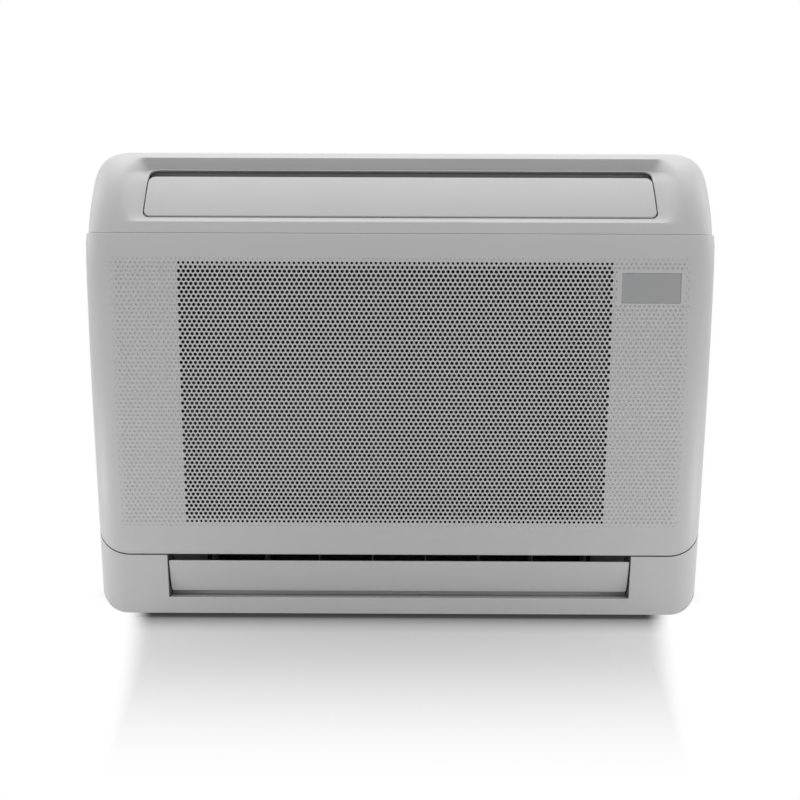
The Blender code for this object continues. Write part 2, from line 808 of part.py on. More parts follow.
def upper_axis():
    """The upper flap's axis, as (y, z)."""
    bottom, _ = upper_flap_line()
    return bottom.x + UPPER_AXIS_BEHIND, bottom.y + UPPER_AXIS_UP


def lower_flap_line():
    """The bottom and top of the lower flap's outer face, as (y, z)."""
    top = Vector((front_y(LOWER_FLAP_TOP) + LOWER_FLAP_TOP_SET_BACK, LOWER_FLAP_TOP))
    bottom = Vector((top.x + LOWER_FLAP_TILT, LOWER_FLAP_BOTTOM))
    return bottom, top


def lower_axis():
    """The lower flap's axis, as (y, z)."""
    bottom, _ = lower_flap_line()
    return bottom.x + LOWER_AXIS_BEHIND - 0.003, bottom.y + LOWER_AXIS_UP


def flap(shop, name, bottom, top, axis, width, hollow):
    """A hollow-backed blade with an ear and a pin at each end, on its axis."""
    run = (top - bottom).normalized()
    inwards = Vector((run.y, -run.x))
    bow = 0.0015
    outer = []
    steps = 4
    for i in range(steps + 1):
        share = i / steps
        sag = bow * (1 - (2 * share - 1) ** 2)
        outer.append(bottom.lerp(top, share) - inwards * sag)
    inner = [top + inwards * FLAP_THICKNESS * 0.5, bottom + inwards * FLAP_THICKNESS]
    outline = [(p.x, p.y) for p in [*outer, *inner]]
    body = shop.plate(outline, "X", -width / 2, width / 2)
    body = shop.common(body, flap_face(shop, bottom, top, width))
    start = bottom.lerp(top, 0.16) + inwards * hollow
    end = bottom.lerp(top, 0.86) + inwards * hollow
    pocket = [
        (start.x, start.y),
        (end.x, end.y),
        (end.x + inwards.x * 0.02, end.y + inwards.y * 0.02),
        (start.x + inwards.x * 0.02, start.y + inwards.y * 0.02),
    ]
    cells = 4
    rib = 0.003
    cell = (width - 0.016 - (cells - 1) * rib) / cells
    pockets = []
    for i in range(cells):
        left = -width / 2 + 0.008 + i * (cell + rib)
        pockets.append(shop.plate(pocket, "X", left, left + cell))
    body = shop.cut(body, shop.group(pockets))
    y, z = axis
    ear_radius = FLAP_PIN_RADIUS + 0.002
    foot_a = bottom + inwards * 0.003 + run * 0.003
    foot_b = bottom + inwards * 0.003 + run * 0.020
    ears = []
    for side in (-1, 1):
        near = side * (width / 2)
        far = side * (width / 2 - 0.004)
        outline = [
            (foot_a.x, foot_a.y),
            (y, z - ear_radius),
            (y + ear_radius, z),
            (y, z + ear_radius),
            (foot_b.x, foot_b.y),
        ]
        ear = shop.plate(outline, "X", min(near, far), max(near, far))
        end = side * (width / 2 + FLAP_GAP + DUCT_END_WALL)
        ears.append(shop.join(ear, shop.rod((far, y, z), (end, y, z), FLAP_PIN_RADIUS)))
    body = shop.join(body, *ears)
    shop.finish(body, name, "casing_plastic", origin=(0, y, z), smooth=True)


def flap_face(shop, bottom, top, width):
    """A block with the flap's outline seen square on, with rounded corners."""
    run = (top - bottom).normalized()
    inwards = Vector((run.y, -run.x))
    length = (top - bottom).length + 0.002
    half = width / 2
    high = []
    low = []
    steps = 3
    for i in range(steps + 1):
        turn = math.pi / 2 * i / steps
        out = 1 - math.sin(turn)
        across = 1 - math.cos(turn)
        high.append((half - FLAP_CORNER * out, length - FLAP_CORNER * across))
        low.append((half - FLAP_LOW_CORNER * across, FLAP_LOW_CORNER * out - 0.001))
    right = [*reversed(low), *reversed(high)]
    outline = right + [(-x, v) for x, v in reversed(right)]
    block = shop.plate(outline, "Z", -0.02, 0.03)
    placing = Matrix(
        (
            (1, 0, 0, 0),
            (0, run.x, inwards.x, bottom.x),
            (0, run.y, inwards.y, bottom.y),
            (0, 0, 0, 1),
        )
    )
    shape = bmesh.new()
    shape.from_mesh(block.data)
    shape.transform(placing)
    bmesh.ops.recalc_face_normals(shape, faces=shape.faces)
    shape.to_mesh(block.data)
    shape.free()
    return block


def outlet_flaps(shop):
    bottom, top = upper_flap_line()
    flap(shop, "upper_flap", bottom, top, upper_axis(), UPPER_WIDTH - 2 * FLAP_GAP, 0.002)
    bottom, top = lower_flap_line()
    flap(shop, "lower_flap", bottom, top, lower_axis(), LOWER_WIDTH - 2 * FLAP_GAP, 0.002)


def upper_duct_outline(grow):
    """The upper air way in side view, as (y, z), from the mouth round the back to the throat."""
    back = CHASSIS_BACK - CHASSIS_WALL - SEAT - DUCT_WALL
    lip = front_y(UPPER_LIP_TOP) + UPPER_LIP_SET_BACK + WALL + SEAT + DUCT_WALL
    mouth = front_y(LEDGE_BOTTOM) + LEDGE_DEPTH + WALL + SEAT + DUCT_WALL
    ceiling = HEIGHT - WALL - 0.014
    floor = HOUSING_TOP + SEAT + DUCT_WALL
    return [
        (THROAT_FRONT - grow, floor - grow),
        (mouth - grow, LEDGE_BOTTOM - 0.004 - grow),
        (mouth - grow, LEDGE_TOP - 0.006),
        (lip - grow, UPPER_LIP_BOTTOM - 0.004),
        (lip - grow * 0.4, UPPER_LIP_BOTTOM + 0.002 + grow),
        (lip + 0.024, ceiling - 0.003 + grow),
        (back - 0.040, ceiling - 0.004 + grow),
        (back - 0.014 + grow * 0.7, ceiling - 0.016 + grow * 0.7),
        (back + grow, ceiling - 0.044),
        (back + grow, floor - grow),
    ]


def ducts(shop):
    upper_duct(shop)
    lower_duct(shop)


def upper_duct(shop):
    inner = UPPER_WIDTH / 2
    outer = inner + DUCT_END_WALL
    body = shop.plate(upper_duct_outline(DUCT_WALL), "X", -outer, outer)
    body = shop.cut(body, shop.plate(upper_duct_outline(0.0), "X", -inner, inner))
    mouth = front_y(LEDGE_BOTTOM) + LEDGE_DEPTH + WALL + SEAT
    lip = front_y(UPPER_LIP_TOP) + UPPER_LIP_SET_BACK + WALL + SEAT
    opening = [
        (mouth - 0.02, LEDGE_TOP - 0.0065),
        (mouth + DUCT_WALL + 0.001, LEDGE_TOP - 0.0065),
        (lip + DUCT_WALL + 0.001, UPPER_LIP_BOTTOM - 0.0045),
        (lip - 0.03, UPPER_LIP_BOTTOM - 0.0045),
    ]
    body = shop.cut(body, shop.plate(opening, "X", -inner, inner))
    back = CHASSIS_BACK - CHASSIS_WALL - SEAT - DUCT_WALL
    low = (THROAT_LEFT, THROAT_FRONT, HOUSING_TOP - 0.01)
    body = shop.cut(body, shop.box(low, (THROAT_RIGHT, back, HOUSING_TOP + 0.006)))
    y, z = upper_axis()
    body = shop.cut(body, bearing_bore(shop, y, z, outer))
    holes = []
    for x in vane_places(UPPER_VANES, UPPER_VANE_PITCH):
        holes.append(vane_bore(shop, x, UPPER_VANE_AXIS_Y, HOUSING_TOP, HEIGHT))
    body = shop.cut(body, shop.group(holes))
    shop.finish(body, "upper_duct", "duct_foam")


def bearing_bore(shop, y, z, outer):
    return shop.rod((-outer - 0.01, y, z), (outer + 0.01, y, z), FLAP_PIN_RADIUS + SEAT)


def vane_bore(shop, x, y, low, high):
    return shop.rod((x, y, low), (x, y, high), VANE_PIN_RADIUS + SEAT, SIDES_HOLE)


def lower_duct_outline(grow):
    """The lower air way in side view, as (y, z)."""
    back = CHASSIS_BACK - CHASSIS_WALL - SEAT - DUCT_WALL
    mouth = front_y(LOWER_BOTTOM) + WALL + SEAT
    ceiling = PAN_BOTTOM - SEAT - DUCT_WALL
    top = HOUSING_BOTTOM - SEAT - DUCT_WALL
    floor = WALL + 2 * SEAT + 2 * DUCT_WALL + CHASSIS_RIM
    throat = PAN_BACK + SEAT + DUCT_WALL
    return [
        (mouth, LOWER_BOTTOM - grow),
        (mouth, ceiling - 0.003 + grow),
        (throat - grow, ceiling + grow),
        (throat - grow, top + grow),
        (back + grow, top + grow),
        (back + grow, floor + 0.050),
        (back - 0.014 + grow * 0.7, floor + 0.016 - grow * 0.7),
        (back - 0.040, floor + 0.002 - grow),
        (mouth + 0.060, floor + 0.004 - grow),
    ]


def lower_duct(shop):
    inner = LOWER_WIDTH / 2
    outer = inner + DUCT_END_WALL
    body = shop.plate(lower_duct_outline(DUCT_WALL), "X", -outer, outer)
    body = shop.cut(body, shop.plate(lower_duct_outline(0.0), "X", -inner, inner))
    mouth = front_y(LOWER_BOTTOM) + WALL + SEAT
    top = PAN_BOTTOM - SEAT - DUCT_WALL - 0.003
    opening = shop.box((-inner, mouth - 0.01, LOWER_BOTTOM), (inner, mouth + 0.003, top))
    body = shop.cut(body, opening)
    back = CHASSIS_BACK - CHASSIS_WALL - SEAT - DUCT_WALL
    low = (THROAT_LEFT, THROAT_FRONT, HOUSING_BOTTOM - 0.006)
    body = shop.cut(body, shop.box(low, (THROAT_RIGHT, back, HOUSING_BOTTOM + 0.01)))
    y, z = lower_axis()
    body = shop.cut(body, bearing_bore(shop, y, z, outer))
    holes = []
    for x in vane_places(LOWER_VANES, LOWER_VANE_PITCH):
        holes.append(vane_bore(shop, x, LOWER_VANE_AXIS_Y, 0.001, PAN_BOTTOM + 0.003))
    body = shop.cut(body, shop.group(holes))
    shop.finish(body, "lower_duct", "duct_foam")


def vane_places(count, pitch):
    return [(i - (count - 1) / 2) * pitch for i in range(count)]


def vane(shop, name, x, axis_y, outline, crank, pin_low, pin_high, crank_low, crank_high):
    """A vertical vane with a pivot pin above and below it, and a crank pin for its link."""
    half = VANE_THICKNESS / 2
    body = shop.plate(outline, "X", x - half, x + half)
    zs = [z for _, z in outline]
    middle = (min(zs) + max(zs)) / 2
    pivot = shop.rod((x, axis_y, pin_low), (x, axis_y, pin_high), VANE_PIN_RADIUS, SIDES_HOLE)
    crank_pin = shop.rod(
        (x, axis_y + crank, crank_low), (x, axis_y + crank, crank_high), CRANK_PIN_RADIUS, SIDES_HOLE
    )
    body = shop.join(body, pivot, crank_pin)
    shop.finish(body, name, "vane_plastic", origin=(x, axis_y, middle))


def link(shop, name, places, y, low, material="vane_plastic"):
    """A flat bar with one hole for each vane's crank pin."""
    reach = places[-1] + 0.008
    body = shop.box((-reach, y - LINK_WIDTH / 2, low), (reach, y + LINK_WIDTH / 2, low + LINK_HEIGHT))
    holes = []
    for x in places:
        radius = CRANK_PIN_RADIUS + LINK_HOLE_CLEARANCE
        holes.append(shop.rod((x, y, low - 0.01), (x, y, low + 0.01), radius, SIDES_HOLE))
    body = shop.cut(body, shop.group(holes))
    shop.finish(body, name, material, origin=(places[0], y, low + LINK_HEIGHT / 2))


def vanes(shop):
    upper_vanes(shop)
    lower_vanes(shop)


def upper_vanes(shop):
    axis = UPPER_VANE_AXIS_Y
    floor = HOUSING_TOP + SEAT + DUCT_WALL
    ceiling = HEIGHT - WALL - 0.014
    low = LEDGE_BOTTOM + 0.002
    link_low = low - 0.004 - LINK_HEIGHT
    outline = [
        (axis - 0.038, low),
        (axis + UPPER_CRANK + 0.003, low),
        (axis + UPPER_CRANK + 0.003, ceiling - 0.022),
        (axis + 0.004, ceiling - 0.016),
        (axis - 0.004, ceiling - 0.020),
        (axis - 0.038, low + 0.012),
    ]
    places = vane_places(UPPER_VANES, UPPER_VANE_PITCH)
    for i, x in enumerate(places):
        vane(
            shop,
            f"upper_vane_{i + 1}",
            x,
            axis,
            outline,
            UPPER_CRANK,
            floor - DUCT_WALL + 0.0005,
            ceiling - 0.001,
            link_low - 0.001,
            low + 0.004,
        )
    link(shop, "upper_vane_link", places, axis + UPPER_CRANK, link_low)


def lower_vanes(shop):
    axis = LOWER_VANE_AXIS_Y
    ceiling = PAN_BOTTOM - SEAT - DUCT_WALL
    link_low = LOWER_BOTTOM - 0.001
    low = link_low + LINK_HEIGHT + 0.002
    outline = [
        (axis - 0.018, low + 0.002),
        (axis + LOWER_CRANK + 0.003, low + 0.002),
        (axis + LOWER_CRANK + 0.003, ceiling - 0.009),
        (axis - 0.018, ceiling - 0.007),
    ]
    places = vane_places(LOWER_VANES, LOWER_VANE_PITCH)
    for i, x in enumerate(places):
        vane(
            shop,
            f"lower_vane_{i + 1}",
            x,
            axis,
            outline,
            LOWER_CRANK,
            0.0105,
            ceiling + DUCT_WALL - 0.0012,
            link_low - 0.001,
            low + 0.006,
        )
    link(shop, "lower_vane_link", places, axis + LOWER_CRANK, link_low)


def fan(shop):
    """Centrifugal fan wheel on the motor's shaft, with its nut, the motor and the motor's clamp."""
    fan_wheel(shop)
    centre = (FAN_X, 0, FAN_Z)
    shaft = shop.rod((FAN_X, SHAFT_FRONT, FAN_Z), (FAN_X, SHAFT_BACK, FAN_Z), SHAFT_RADIUS)
    shop.finish(shaft, "motor_shaft", "zinc_steel", origin=centre, smooth=True)
    front = BOSS_FRONT - SEAT - NUT_THICKNESS
    nut = shop.rod((FAN_X, front, FAN_Z), (FAN_X, BOSS_FRONT - SEAT, FAN_Z), NUT_RADIUS, 6)
    start = (FAN_X, front - 0.01, FAN_Z)
    bore = shop.rod(start, (FAN_X, BOSS_FRONT, FAN_Z), SHAFT_RADIUS + SEAT)
    shop.finish(shop.cut(nut, bore), "fan_nut", "zinc_steel", origin=centre)
    back = CHASSIS_BACK - CHASSIS_WALL - SEAT
    profile = [
        (SHAFT_RADIUS + RUNNING, SHAFT_BACK + 0.002),
        (SHAFT_RADIUS + RUNNING, MOTOR_FRONT - 0.003),
        (0.016, MOTOR_FRONT - 0.003),
        (0.018, MOTOR_FRONT),
        (MOTOR_RADIUS - 0.006, MOTOR_FRONT),
        (MOTOR_RADIUS, MOTOR_FRONT + 0.006),
        (MOTOR_RADIUS, back),
        (0.010, back),
        (0.010, SHAFT_BACK + 0.002),
    ]
    motor = shop.turned(profile, centre, SIDES_MEDIUM)
    shop.finish(motor, "fan_motor", "black_plastic", smooth=True)
    clamp_front = back - CLAMP_WIDTH
    inner = MOTOR_RADIUS + SEAT
    ring = [
        (inner, clamp_front),
        (inner + CLAMP_THICKNESS, clamp_front),
        (inner + CLAMP_THICKNESS, back),
        (inner, back),
    ]
    clamp = shop.turned(ring, centre, SIDES_MEDIUM)
    feet = []
    for i in range(3):
        turn = math.tau * (i / 3 + 0.25)
        near = Vector((math.cos(turn), math.sin(turn))) * (inner + 0.001)
        far = Vector((math.cos(turn), math.sin(turn))) * (inner + 0.016)
        side = Vector((-math.sin(turn), math.cos(turn))) * 0.009
        outline = [near - side, far - side, far + side, near + side]
        outline = [(FAN_X + p.x, FAN_Z + p.y) for p in outline]
        feet.append(shop.plate(outline, "Y", back - SEAT - CLAMP_THICKNESS, back - SEAT))
    clamp = shop.join(clamp, shop.group(feet))
    shop.finish(clamp, "motor_clamp", "zinc_steel", smooth=True)


def fan_wheel(shop):
    centre = (FAN_X, 0, FAN_Z)
    hub = [
        (FAN_RADIUS, FAN_BACK - FAN_PLATE),
        (FAN_RADIUS, FAN_BACK),
        (HUB_RADIUS - FAN_PLATE, FAN_BACK),
        (HUB_RADIUS - FAN_PLATE, HUB_FRONT + FAN_PLATE + 0.004),
        (HUB_RADIUS - FAN_PLATE - 0.004, HUB_FRONT + FAN_PLATE),
        (SHAFT_RADIUS + SEAT, HUB_FRONT + FAN_PLATE),
        (SHAFT_RADIUS + SEAT, BOSS_FRONT),
        (BOSS_RADIUS, BOSS_FRONT),
        (BOSS_RADIUS + 0.001, HUB_FRONT),
        (HUB_RADIUS - 0.005, HUB_FRONT),
        (HUB_RADIUS, HUB_FRONT + 0.005),
        (HUB_RADIUS, FAN_BACK - FAN_PLATE),
    ]
    wheel = shop.turned(hub, centre)
    shroud = [
        (INLET_RADIUS, FAN_FRONT - 0.004),
        (INLET_RADIUS + 0.0018, FAN_FRONT - 0.004),
        (INLET_RADIUS + 0.0040, FAN_FRONT + 0.001),
        (FAN_RADIUS, FAN_FRONT + 0.005),
        (FAN_RADIUS, FAN_FRONT + 0.0072),
        (INLET_RADIUS + 0.0030, FAN_FRONT + 0.0035),
        (INLET_RADIUS, FAN_FRONT),
    ]
    shroud = shop.turned(shroud, centre)
    blades = shop.group([blade(shop, math.tau * i / BLADES) for i in range(BLADES)])
    wheel = shop.join(wheel, blades, shroud)
    shop.finish(wheel, "fan_wheel", "fan_plastic", origin=centre, smooth=True)


def blade(shop, start):
    """A backward-curved blade: its line turns back round the axis as it goes out."""
    steps = 5
    sweep = math.radians(52)
    line = []
    for i in range(steps + 1):
        share = i / steps
        radius = BLADE_INNER_RADIUS + (FAN_RADIUS - 0.0015 - BLADE_INNER_RADIUS) * share
        turn = start - sweep * share ** 0.8
        line.append(Vector((math.cos(turn), math.sin(turn))) * radius)
    sides = ([], [])
    for i, point in enumerate(line):
        run = (line[min(i + 1, steps)] - line[max(i - 1, 0)]).normalized()
        across = Vector((-run.y, run.x)) * BLADE_THICKNESS / 2
        if i in (0, steps):
            across *= 0.55
        sides[0].append(point + across)
        sides[1].append(point - across)
    outline = [(FAN_X + p.x, FAN_Z + p.y) for p in [*sides[0], *reversed(sides[1])]]
    return shop.plate(outline, "Y", FAN_FRONT + 0.0055, FAN_BACK - FAN_PLATE / 2)


def scroll_outline():
    """The air way seen from the front, as (x, z): two volutes, one to each outlet."""
    steps = 7
    half = []
    for i in range(steps + 1):
        share = i / steps
        turn = math.radians(SCROLL_FROM + (SCROLL_TO - SCROLL_FROM) * share)
        radius = SCROLL_START + (SCROLL_END - SCROLL_START) * share
        half.append((radius * math.cos(turn), radius * math.sin(turn)))
    right = [(FAN_X + x, FAN_Z + z) for x, z in half]
    left = [(FAN_X - x, FAN_Z - z) for x, z in half]
    top = [(THROAT_RIGHT, HOUSING_TOP + 0.01), (THROAT_LEFT, HOUSING_TOP + 0.01)]
    bottom = [(THROAT_LEFT, HOUSING_BOTTOM - 0.01), (THROAT_RIGHT, HOUSING_BOTTOM - 0.01)]
    return right + top + left + bottom


def fan_housing(shop):
    """The moulded scroll round the fan and the plate with the bell mouth in front of it."""
    back = CHASSIS_BACK - CHASSIS_WALL - SEAT
    plate_back = INLET_PLATE_FRONT + INLET_PLATE
    front = plate_back + SEAT
    low = (HOUSING_LEFT, front, HOUSING_BOTTOM)
    high = (HOUSING_RIGHT, back, HOUSING_TOP)
    body = shop.box(low, high)
    way = shop.plate(scroll_outline(), "Y", front - 0.01, back - HOUSING_BACK_WALL)
    radius = MOTOR_RADIUS + CLAMP_THICKNESS + 0.016 + 0.006
    hole = shop.rod((FAN_X, 0, FAN_Z), (FAN_X, back + 0.01, FAN_Z), radius, SIDES_MEDIUM)
    body = shop.cut(body, way, hole)
    shop.finish(body, "fan_housing", "duct_foam")
    low = (HOUSING_LEFT, INLET_PLATE_FRONT, HOUSING_BOTTOM)
    plate = shop.box(low, (HOUSING_RIGHT, plate_back, HOUSING_TOP))
    mouth = INLET_RADIUS - 0.004
    bell = [
        (mouth + 0.020, INLET_PLATE_FRONT + BELL_SUNK),
        (mouth + 0.020, plate_back - BELL_SUNK),
        (mouth + 0.006, plate_back - BELL_SUNK),
        (mouth, plate_back + 0.004),
        (mouth, INLET_PLATE_FRONT + BELL_DEPTH),
        (mouth - 0.0025, INLET_PLATE_FRONT + BELL_DEPTH),
        (mouth - 0.0015, INLET_PLATE_FRONT + 0.003),
        (mouth + 0.003, INLET_PLATE_FRONT + BELL_SUNK),
    ]
    start = (FAN_X, INLET_PLATE_FRONT - 0.01, FAN_Z)
    hole = shop.rod(start, (FAN_X, plate_back + 0.01, FAN_Z), mouth + 0.012, SIDES_LARGE)
    plate = shop.cut(plate, hole)
    plate = shop.join(plate, shop.turned(bell, (FAN_X, 0, FAN_Z)))
    shop.finish(plate, "inlet_ring", "duct_foam", smooth=True)


def heat_exchanger(shop):
    fins = shop.box((COIL_LEFT, COIL_FRONT, COIL_BOTTOM), (COIL_RIGHT, COIL_BACK, COIL_TOP))
    pitch = (COIL_RIGHT - COIL_LEFT) / (FIN_GROOVES + 1)
    grooves = []
    for i in range(FIN_GROOVES):
        x = COIL_LEFT + pitch * (i + 1)
        low = (x - GROOVE_WIDTH / 2, COIL_FRONT - 0.01, COIL_BOTTOM - 0.01)
        high = (x + GROOVE_WIDTH / 2, COIL_FRONT + GROOVE_DEPTH, COIL_TOP + 0.01)
        grooves.append(shop.box(low, high))
    fins = shop.cut(fins, shop.group(grooves))
    shop.finish(fins, "evaporator_fins", "fin_aluminium")
    for side, name in ((-1, "coil_plate_left"), (1, "coil_plate_right")):
        face = COIL_LEFT - SEAT if side < 0 else COIL_RIGHT + SEAT
        out = face + side * END_PLATE
        low = (min(face, out), COIL_FRONT, COIL_BOTTOM)
        high = (max(face, out), COIL_BACK, COIL_TOP)
        body = shop.box(low, high)
        middle = face + side * END_PLATE / 2
        bends = shop.group([return_bend(shop, middle, side, i) for i in range(BEND_COUNT)])
        shop.finish(shop.join(body, bends), name, "pipe_copper")
    drain_pan(shop)


def return_bend(shop, face, side, index):
    """A hairpin bend of the coil's tube, from one row of the coil to the other."""
    step = (COIL_TOP - COIL_BOTTOM) / BEND_COUNT
    z = COIL_BOTTOM + step * (index + 0.5)
    middle = (COIL_FRONT + COIL_BACK) / 2
    lean = 0.006 if side < 0 else -0.006
    steps = 3
    points = [(face, middle - BEND_RADIUS, z - lean)]
    for i in range(steps + 1):
        turn = math.pi * i / steps
        x = face + side * (0.004 + BEND_RADIUS * math.sin(turn))
        y = middle - BEND_RADIUS * math.cos(turn)
        points.append((x, y, z - lean * math.cos(turn)))
    points.append((face, middle + BEND_RADIUS, z + lean))
    return shop.tube(points, TUBE_RADIUS)


def drain_pan(shop):
    """A trough under the coil with a spout to the left."""
    left = COIL_LEFT - 0.024
    right = COIL_RIGHT + 0.020
    pan = shop.box((left, PAN_FRONT, PAN_BOTTOM), (right, PAN_BACK, PAN_TOP))
    deep = PAN_BOTTOM + PAN_WALL
    trough = shop.box(
        (left + PAN_WALL, PAN_FRONT + PAN_WALL, deep), (right - PAN_WALL, PAN_BACK - PAN_WALL, PAN_TOP + 0.01)
    )
    pan = shop.cut(pan, trough)
    ribs = []
    for x in (COIL_LEFT + 0.03, (COIL_LEFT + COIL_RIGHT) / 2, COIL_RIGHT - 0.03):
        low = (x - 0.0015, PAN_FRONT + PAN_WALL - 0.0005, deep - 0.001)
        high = (x + 0.0015, PAN_BACK - PAN_WALL + 0.0005, COIL_BOTTOM - SEAT)
        ribs.append(shop.box(low, high))
    pan = shop.join(pan, shop.group(ribs))
    z = PAN_BOTTOM + SPOUT_RADIUS + 0.001
    y = (PAN_FRONT + PAN_BACK) / 2
    start = (left + PAN_WALL - 0.0005, y, z)
    end = (left - 0.020, y, z)
    spout = shop.rod(start, end, SPOUT_RADIUS)
    pan = shop.join(pan, spout)
    bore = shop.rod((left + 0.01, y, z), (left - 0.03, y, z), SPOUT_RADIUS - 0.002)
    pan = shop.cut(pan, bore)
    shop.finish(pan, "drain_pan", "frame_plastic")


def pipes(shop):
    """Liquid and gas pipe from the coil's left plate down to their flare nuts."""
    face = COIL_LEFT - SEAT - END_PLATE - SEAT
    routes = (
        ("gas", GAS_PIPE_RADIUS, PIPE_Y + PIPE_SPACING / 2, COIL_TOP - 0.014, COIL_BACK - 0.009),
        ("liquid", LIQUID_PIPE_RADIUS, PIPE_Y - PIPE_SPACING / 2, COIL_TOP - 0.060, COIL_FRONT + 0.006),
    )
    for name, radius, y, top, start_y in routes:
        turn = 0.016
        points = [(face, start_y, top), (PIPE_X + turn, start_y, top)]
        steps = 3
        for i in range(1, steps + 1):
            angle = math.pi / 2 * i / steps
            x = PIPE_X + turn * (1 - math.sin(angle))
            points.append((x, start_y, top - turn * (1 - math.cos(angle))))
        points += [(PIPE_X, start_y, top - 0.05), (PIPE_X, y, top - 0.09), (PIPE_X, y, PIPE_END)]
        pipe = shop.tube(points, radius)
        shop.finish(pipe, f"{name}_pipe", "pipe_copper", smooth=True)
        low = PIPE_END - 0.006
        high = low + FLARE_NUT_HEIGHT
        nut = shop.rod((PIPE_X, y, low), (PIPE_X, y, high), radius + 0.006, 6)
        start = (PIPE_X, y, PIPE_END - 0.001)
        bore = shop.rod(start, (PIPE_X, y, high + 0.01), radius + RUNNING)
        start = (PIPE_X, y, low - 0.01)
        opening = shop.rod(start, (PIPE_X, y, PIPE_END), radius + 0.002)
        nut = shop.cut(nut, bore, opening)
        shop.finish(nut, f"flare_nut_{name}", "brass")
    pipe_clamp(shop)


def pipe_clamp(shop):
    """A saddle that holds both pipes, on a stalk from the scroll housing's side."""
    low = CLAMP_Z - 0.006
    high = CLAMP_Z + 0.006
    front = PIPE_Y - PIPE_SPACING / 2 - LIQUID_PIPE_RADIUS - 0.004
    back = PIPE_Y + PIPE_SPACING / 2 + GAS_PIPE_RADIUS + 0.004
    left = PIPE_X - GAS_PIPE_RADIUS - 0.003
    body = shop.box((left, front, low), (HOUSING_LEFT - SEAT, back, high))
    holes = []
    for side, radius in ((-1, LIQUID_PIPE_RADIUS), (1, GAS_PIPE_RADIUS)):
        y = PIPE_Y + side * PIPE_SPACING / 2
        start = (PIPE_X, y, low - 0.01)
        holes.append(shop.rod(start, (PIPE_X, y, high + 0.01), radius + RUNNING))
    body = shop.cut(body, shop.group(holes))
    shop.finish(body, "pipe_clamp", "black_plastic")


def inner_frame(shop):
    """The frame behind the panel: it closes the sides and carries the filters in its intake."""
    front = FRAME_FRONT
    back = FRAME_FRONT + FRAME_THICKNESS
    gap = WALL + SEAT
    body = casing_solid(shop, gap, CASING_BACK)
    low = (-REACH, front, PAN_TOP + SEAT)
    body = shop.common(body, shop.box(low, (REACH, FRAME_RIM_BACK, HOUSING_TOP - 0.002)))
    hollow = casing_solid(shop, gap + FRAME_RIM, CASING_BACK)
    inside = shop.box((-REACH, back, -REACH), (REACH, REACH, REACH))
    body = shop.cut(body, shop.common(hollow, inside))
    low = (FILTER_LEFT + 0.006, front - 0.01, FILTER_BOTTOM + 0.006)
    high = (FILTER_RIGHT - 0.006, back + 0.01, FILTER_TOP - 0.006)
    body = shop.cut(body, shop.box(low, high))
    middle = (FILTER_LEFT + FILTER_RIGHT) / 2
    post = shop.box((middle - 0.005, front, FILTER_BOTTOM), (middle + 0.005, back, FILTER_TOP))
    body = shop.join(body, post)
    ledge = shop.box(
        (FILTER_LEFT, front - FRAME_LEDGE, FILTER_BOTTOM - SEAT - 0.002),
        (FILTER_RIGHT, front + 0.001, FILTER_BOTTOM - SEAT),
    )
    body = shop.join(body, ledge)
    for side in (-1, 1):
        low, high = catch_box(side, CATCH_FLANGE + 0.004)
        reach = side * (WIDTH / 2 - 0.014)
        low = (min(reach, side * REACH), low[1] - 0.01, low[2])
        high = (max(reach, side * REACH), FRAME_RIM_BACK + 0.01, high[2])
        body = shop.cut(body, shop.box(low, high))
    holes = []
    for x, z in posts():
        start = (x, front - 0.01, z)
        holes.append(shop.rod(start, (x, back + 0.01, z), SCREW_SHANK_RADIUS + SEAT))
    body = shop.cut(body, shop.group(holes))
    shop.finish(body, "inner_frame", "frame_plastic")
    split = (FILTER_LEFT + FILTER_RIGHT) / 2
    filter_screen(shop, "filter_left", FILTER_LEFT, split - FILTER_SPLIT / 2)
    filter_screen(shop, "filter_right", split + FILTER_SPLIT / 2, FILTER_RIGHT)
    frame_screws(shop)


def filter_screen(shop, name, left, right):
    """A slide-in dust filter: a border with bars across it."""
    back = FRAME_FRONT - SEAT
    front = back - FILTER_THICKNESS
    body = shop.box((left, front, FILTER_BOTTOM), (right, back, FILTER_TOP))
    clear = right - left - 2 * FILTER_BORDER
    width = (clear - (FILTER_COLUMNS - 1) * FILTER_BAR) / FILTER_COLUMNS
    clear = FILTER_TOP - FILTER_BOTTOM - 2 * FILTER_BORDER
    height = (clear - (FILTER_ROWS - 1) * FILTER_BAR) / FILTER_ROWS
    cells = []
    for column in range(FILTER_COLUMNS):
        for row in range(FILTER_ROWS):
            x = left + FILTER_BORDER + column * (width + FILTER_BAR)
            z = FILTER_BOTTOM + FILTER_BORDER + row * (height + FILTER_BAR)
            cells.append(shop.box((x, front - 0.01, z), (x + width, back + 0.01, z + height)))
    body = shop.cut(body, shop.group(cells))
    shop.finish(body, name, "filter_net")


def posts():
    """Where the chassis's four screw posts stand, as (x, z)."""
    return [(x, z) for x in (-POST_X, POST_X) for z in (POST_LOWER_Z + 0.006, POST_UPPER_Z)]


def frame_screws(shop):
    """Four screws through the inner frame into the chassis's posts."""
    seat = FRAME_FRONT - SEAT
    crown = SCREW_HEAD_RADIUS * 0.8
    for i, (x, z) in enumerate(posts()):
        top = (x, seat - SCREW_HEAD, z)
        head = shop.rod(top, (x, seat, z), crown, SIDES_SMALL, SCREW_HEAD_RADIUS)
        end = (x, seat + SCREW_LENGTH, z)
        shank = shop.rod((x, seat - 0.0005, z), end, SCREW_SHANK_RADIUS, SIDES_HOLE)
        shop.finish(shop.join(head, shank), f"frame_screw_{i + 1}", "zinc_steel")


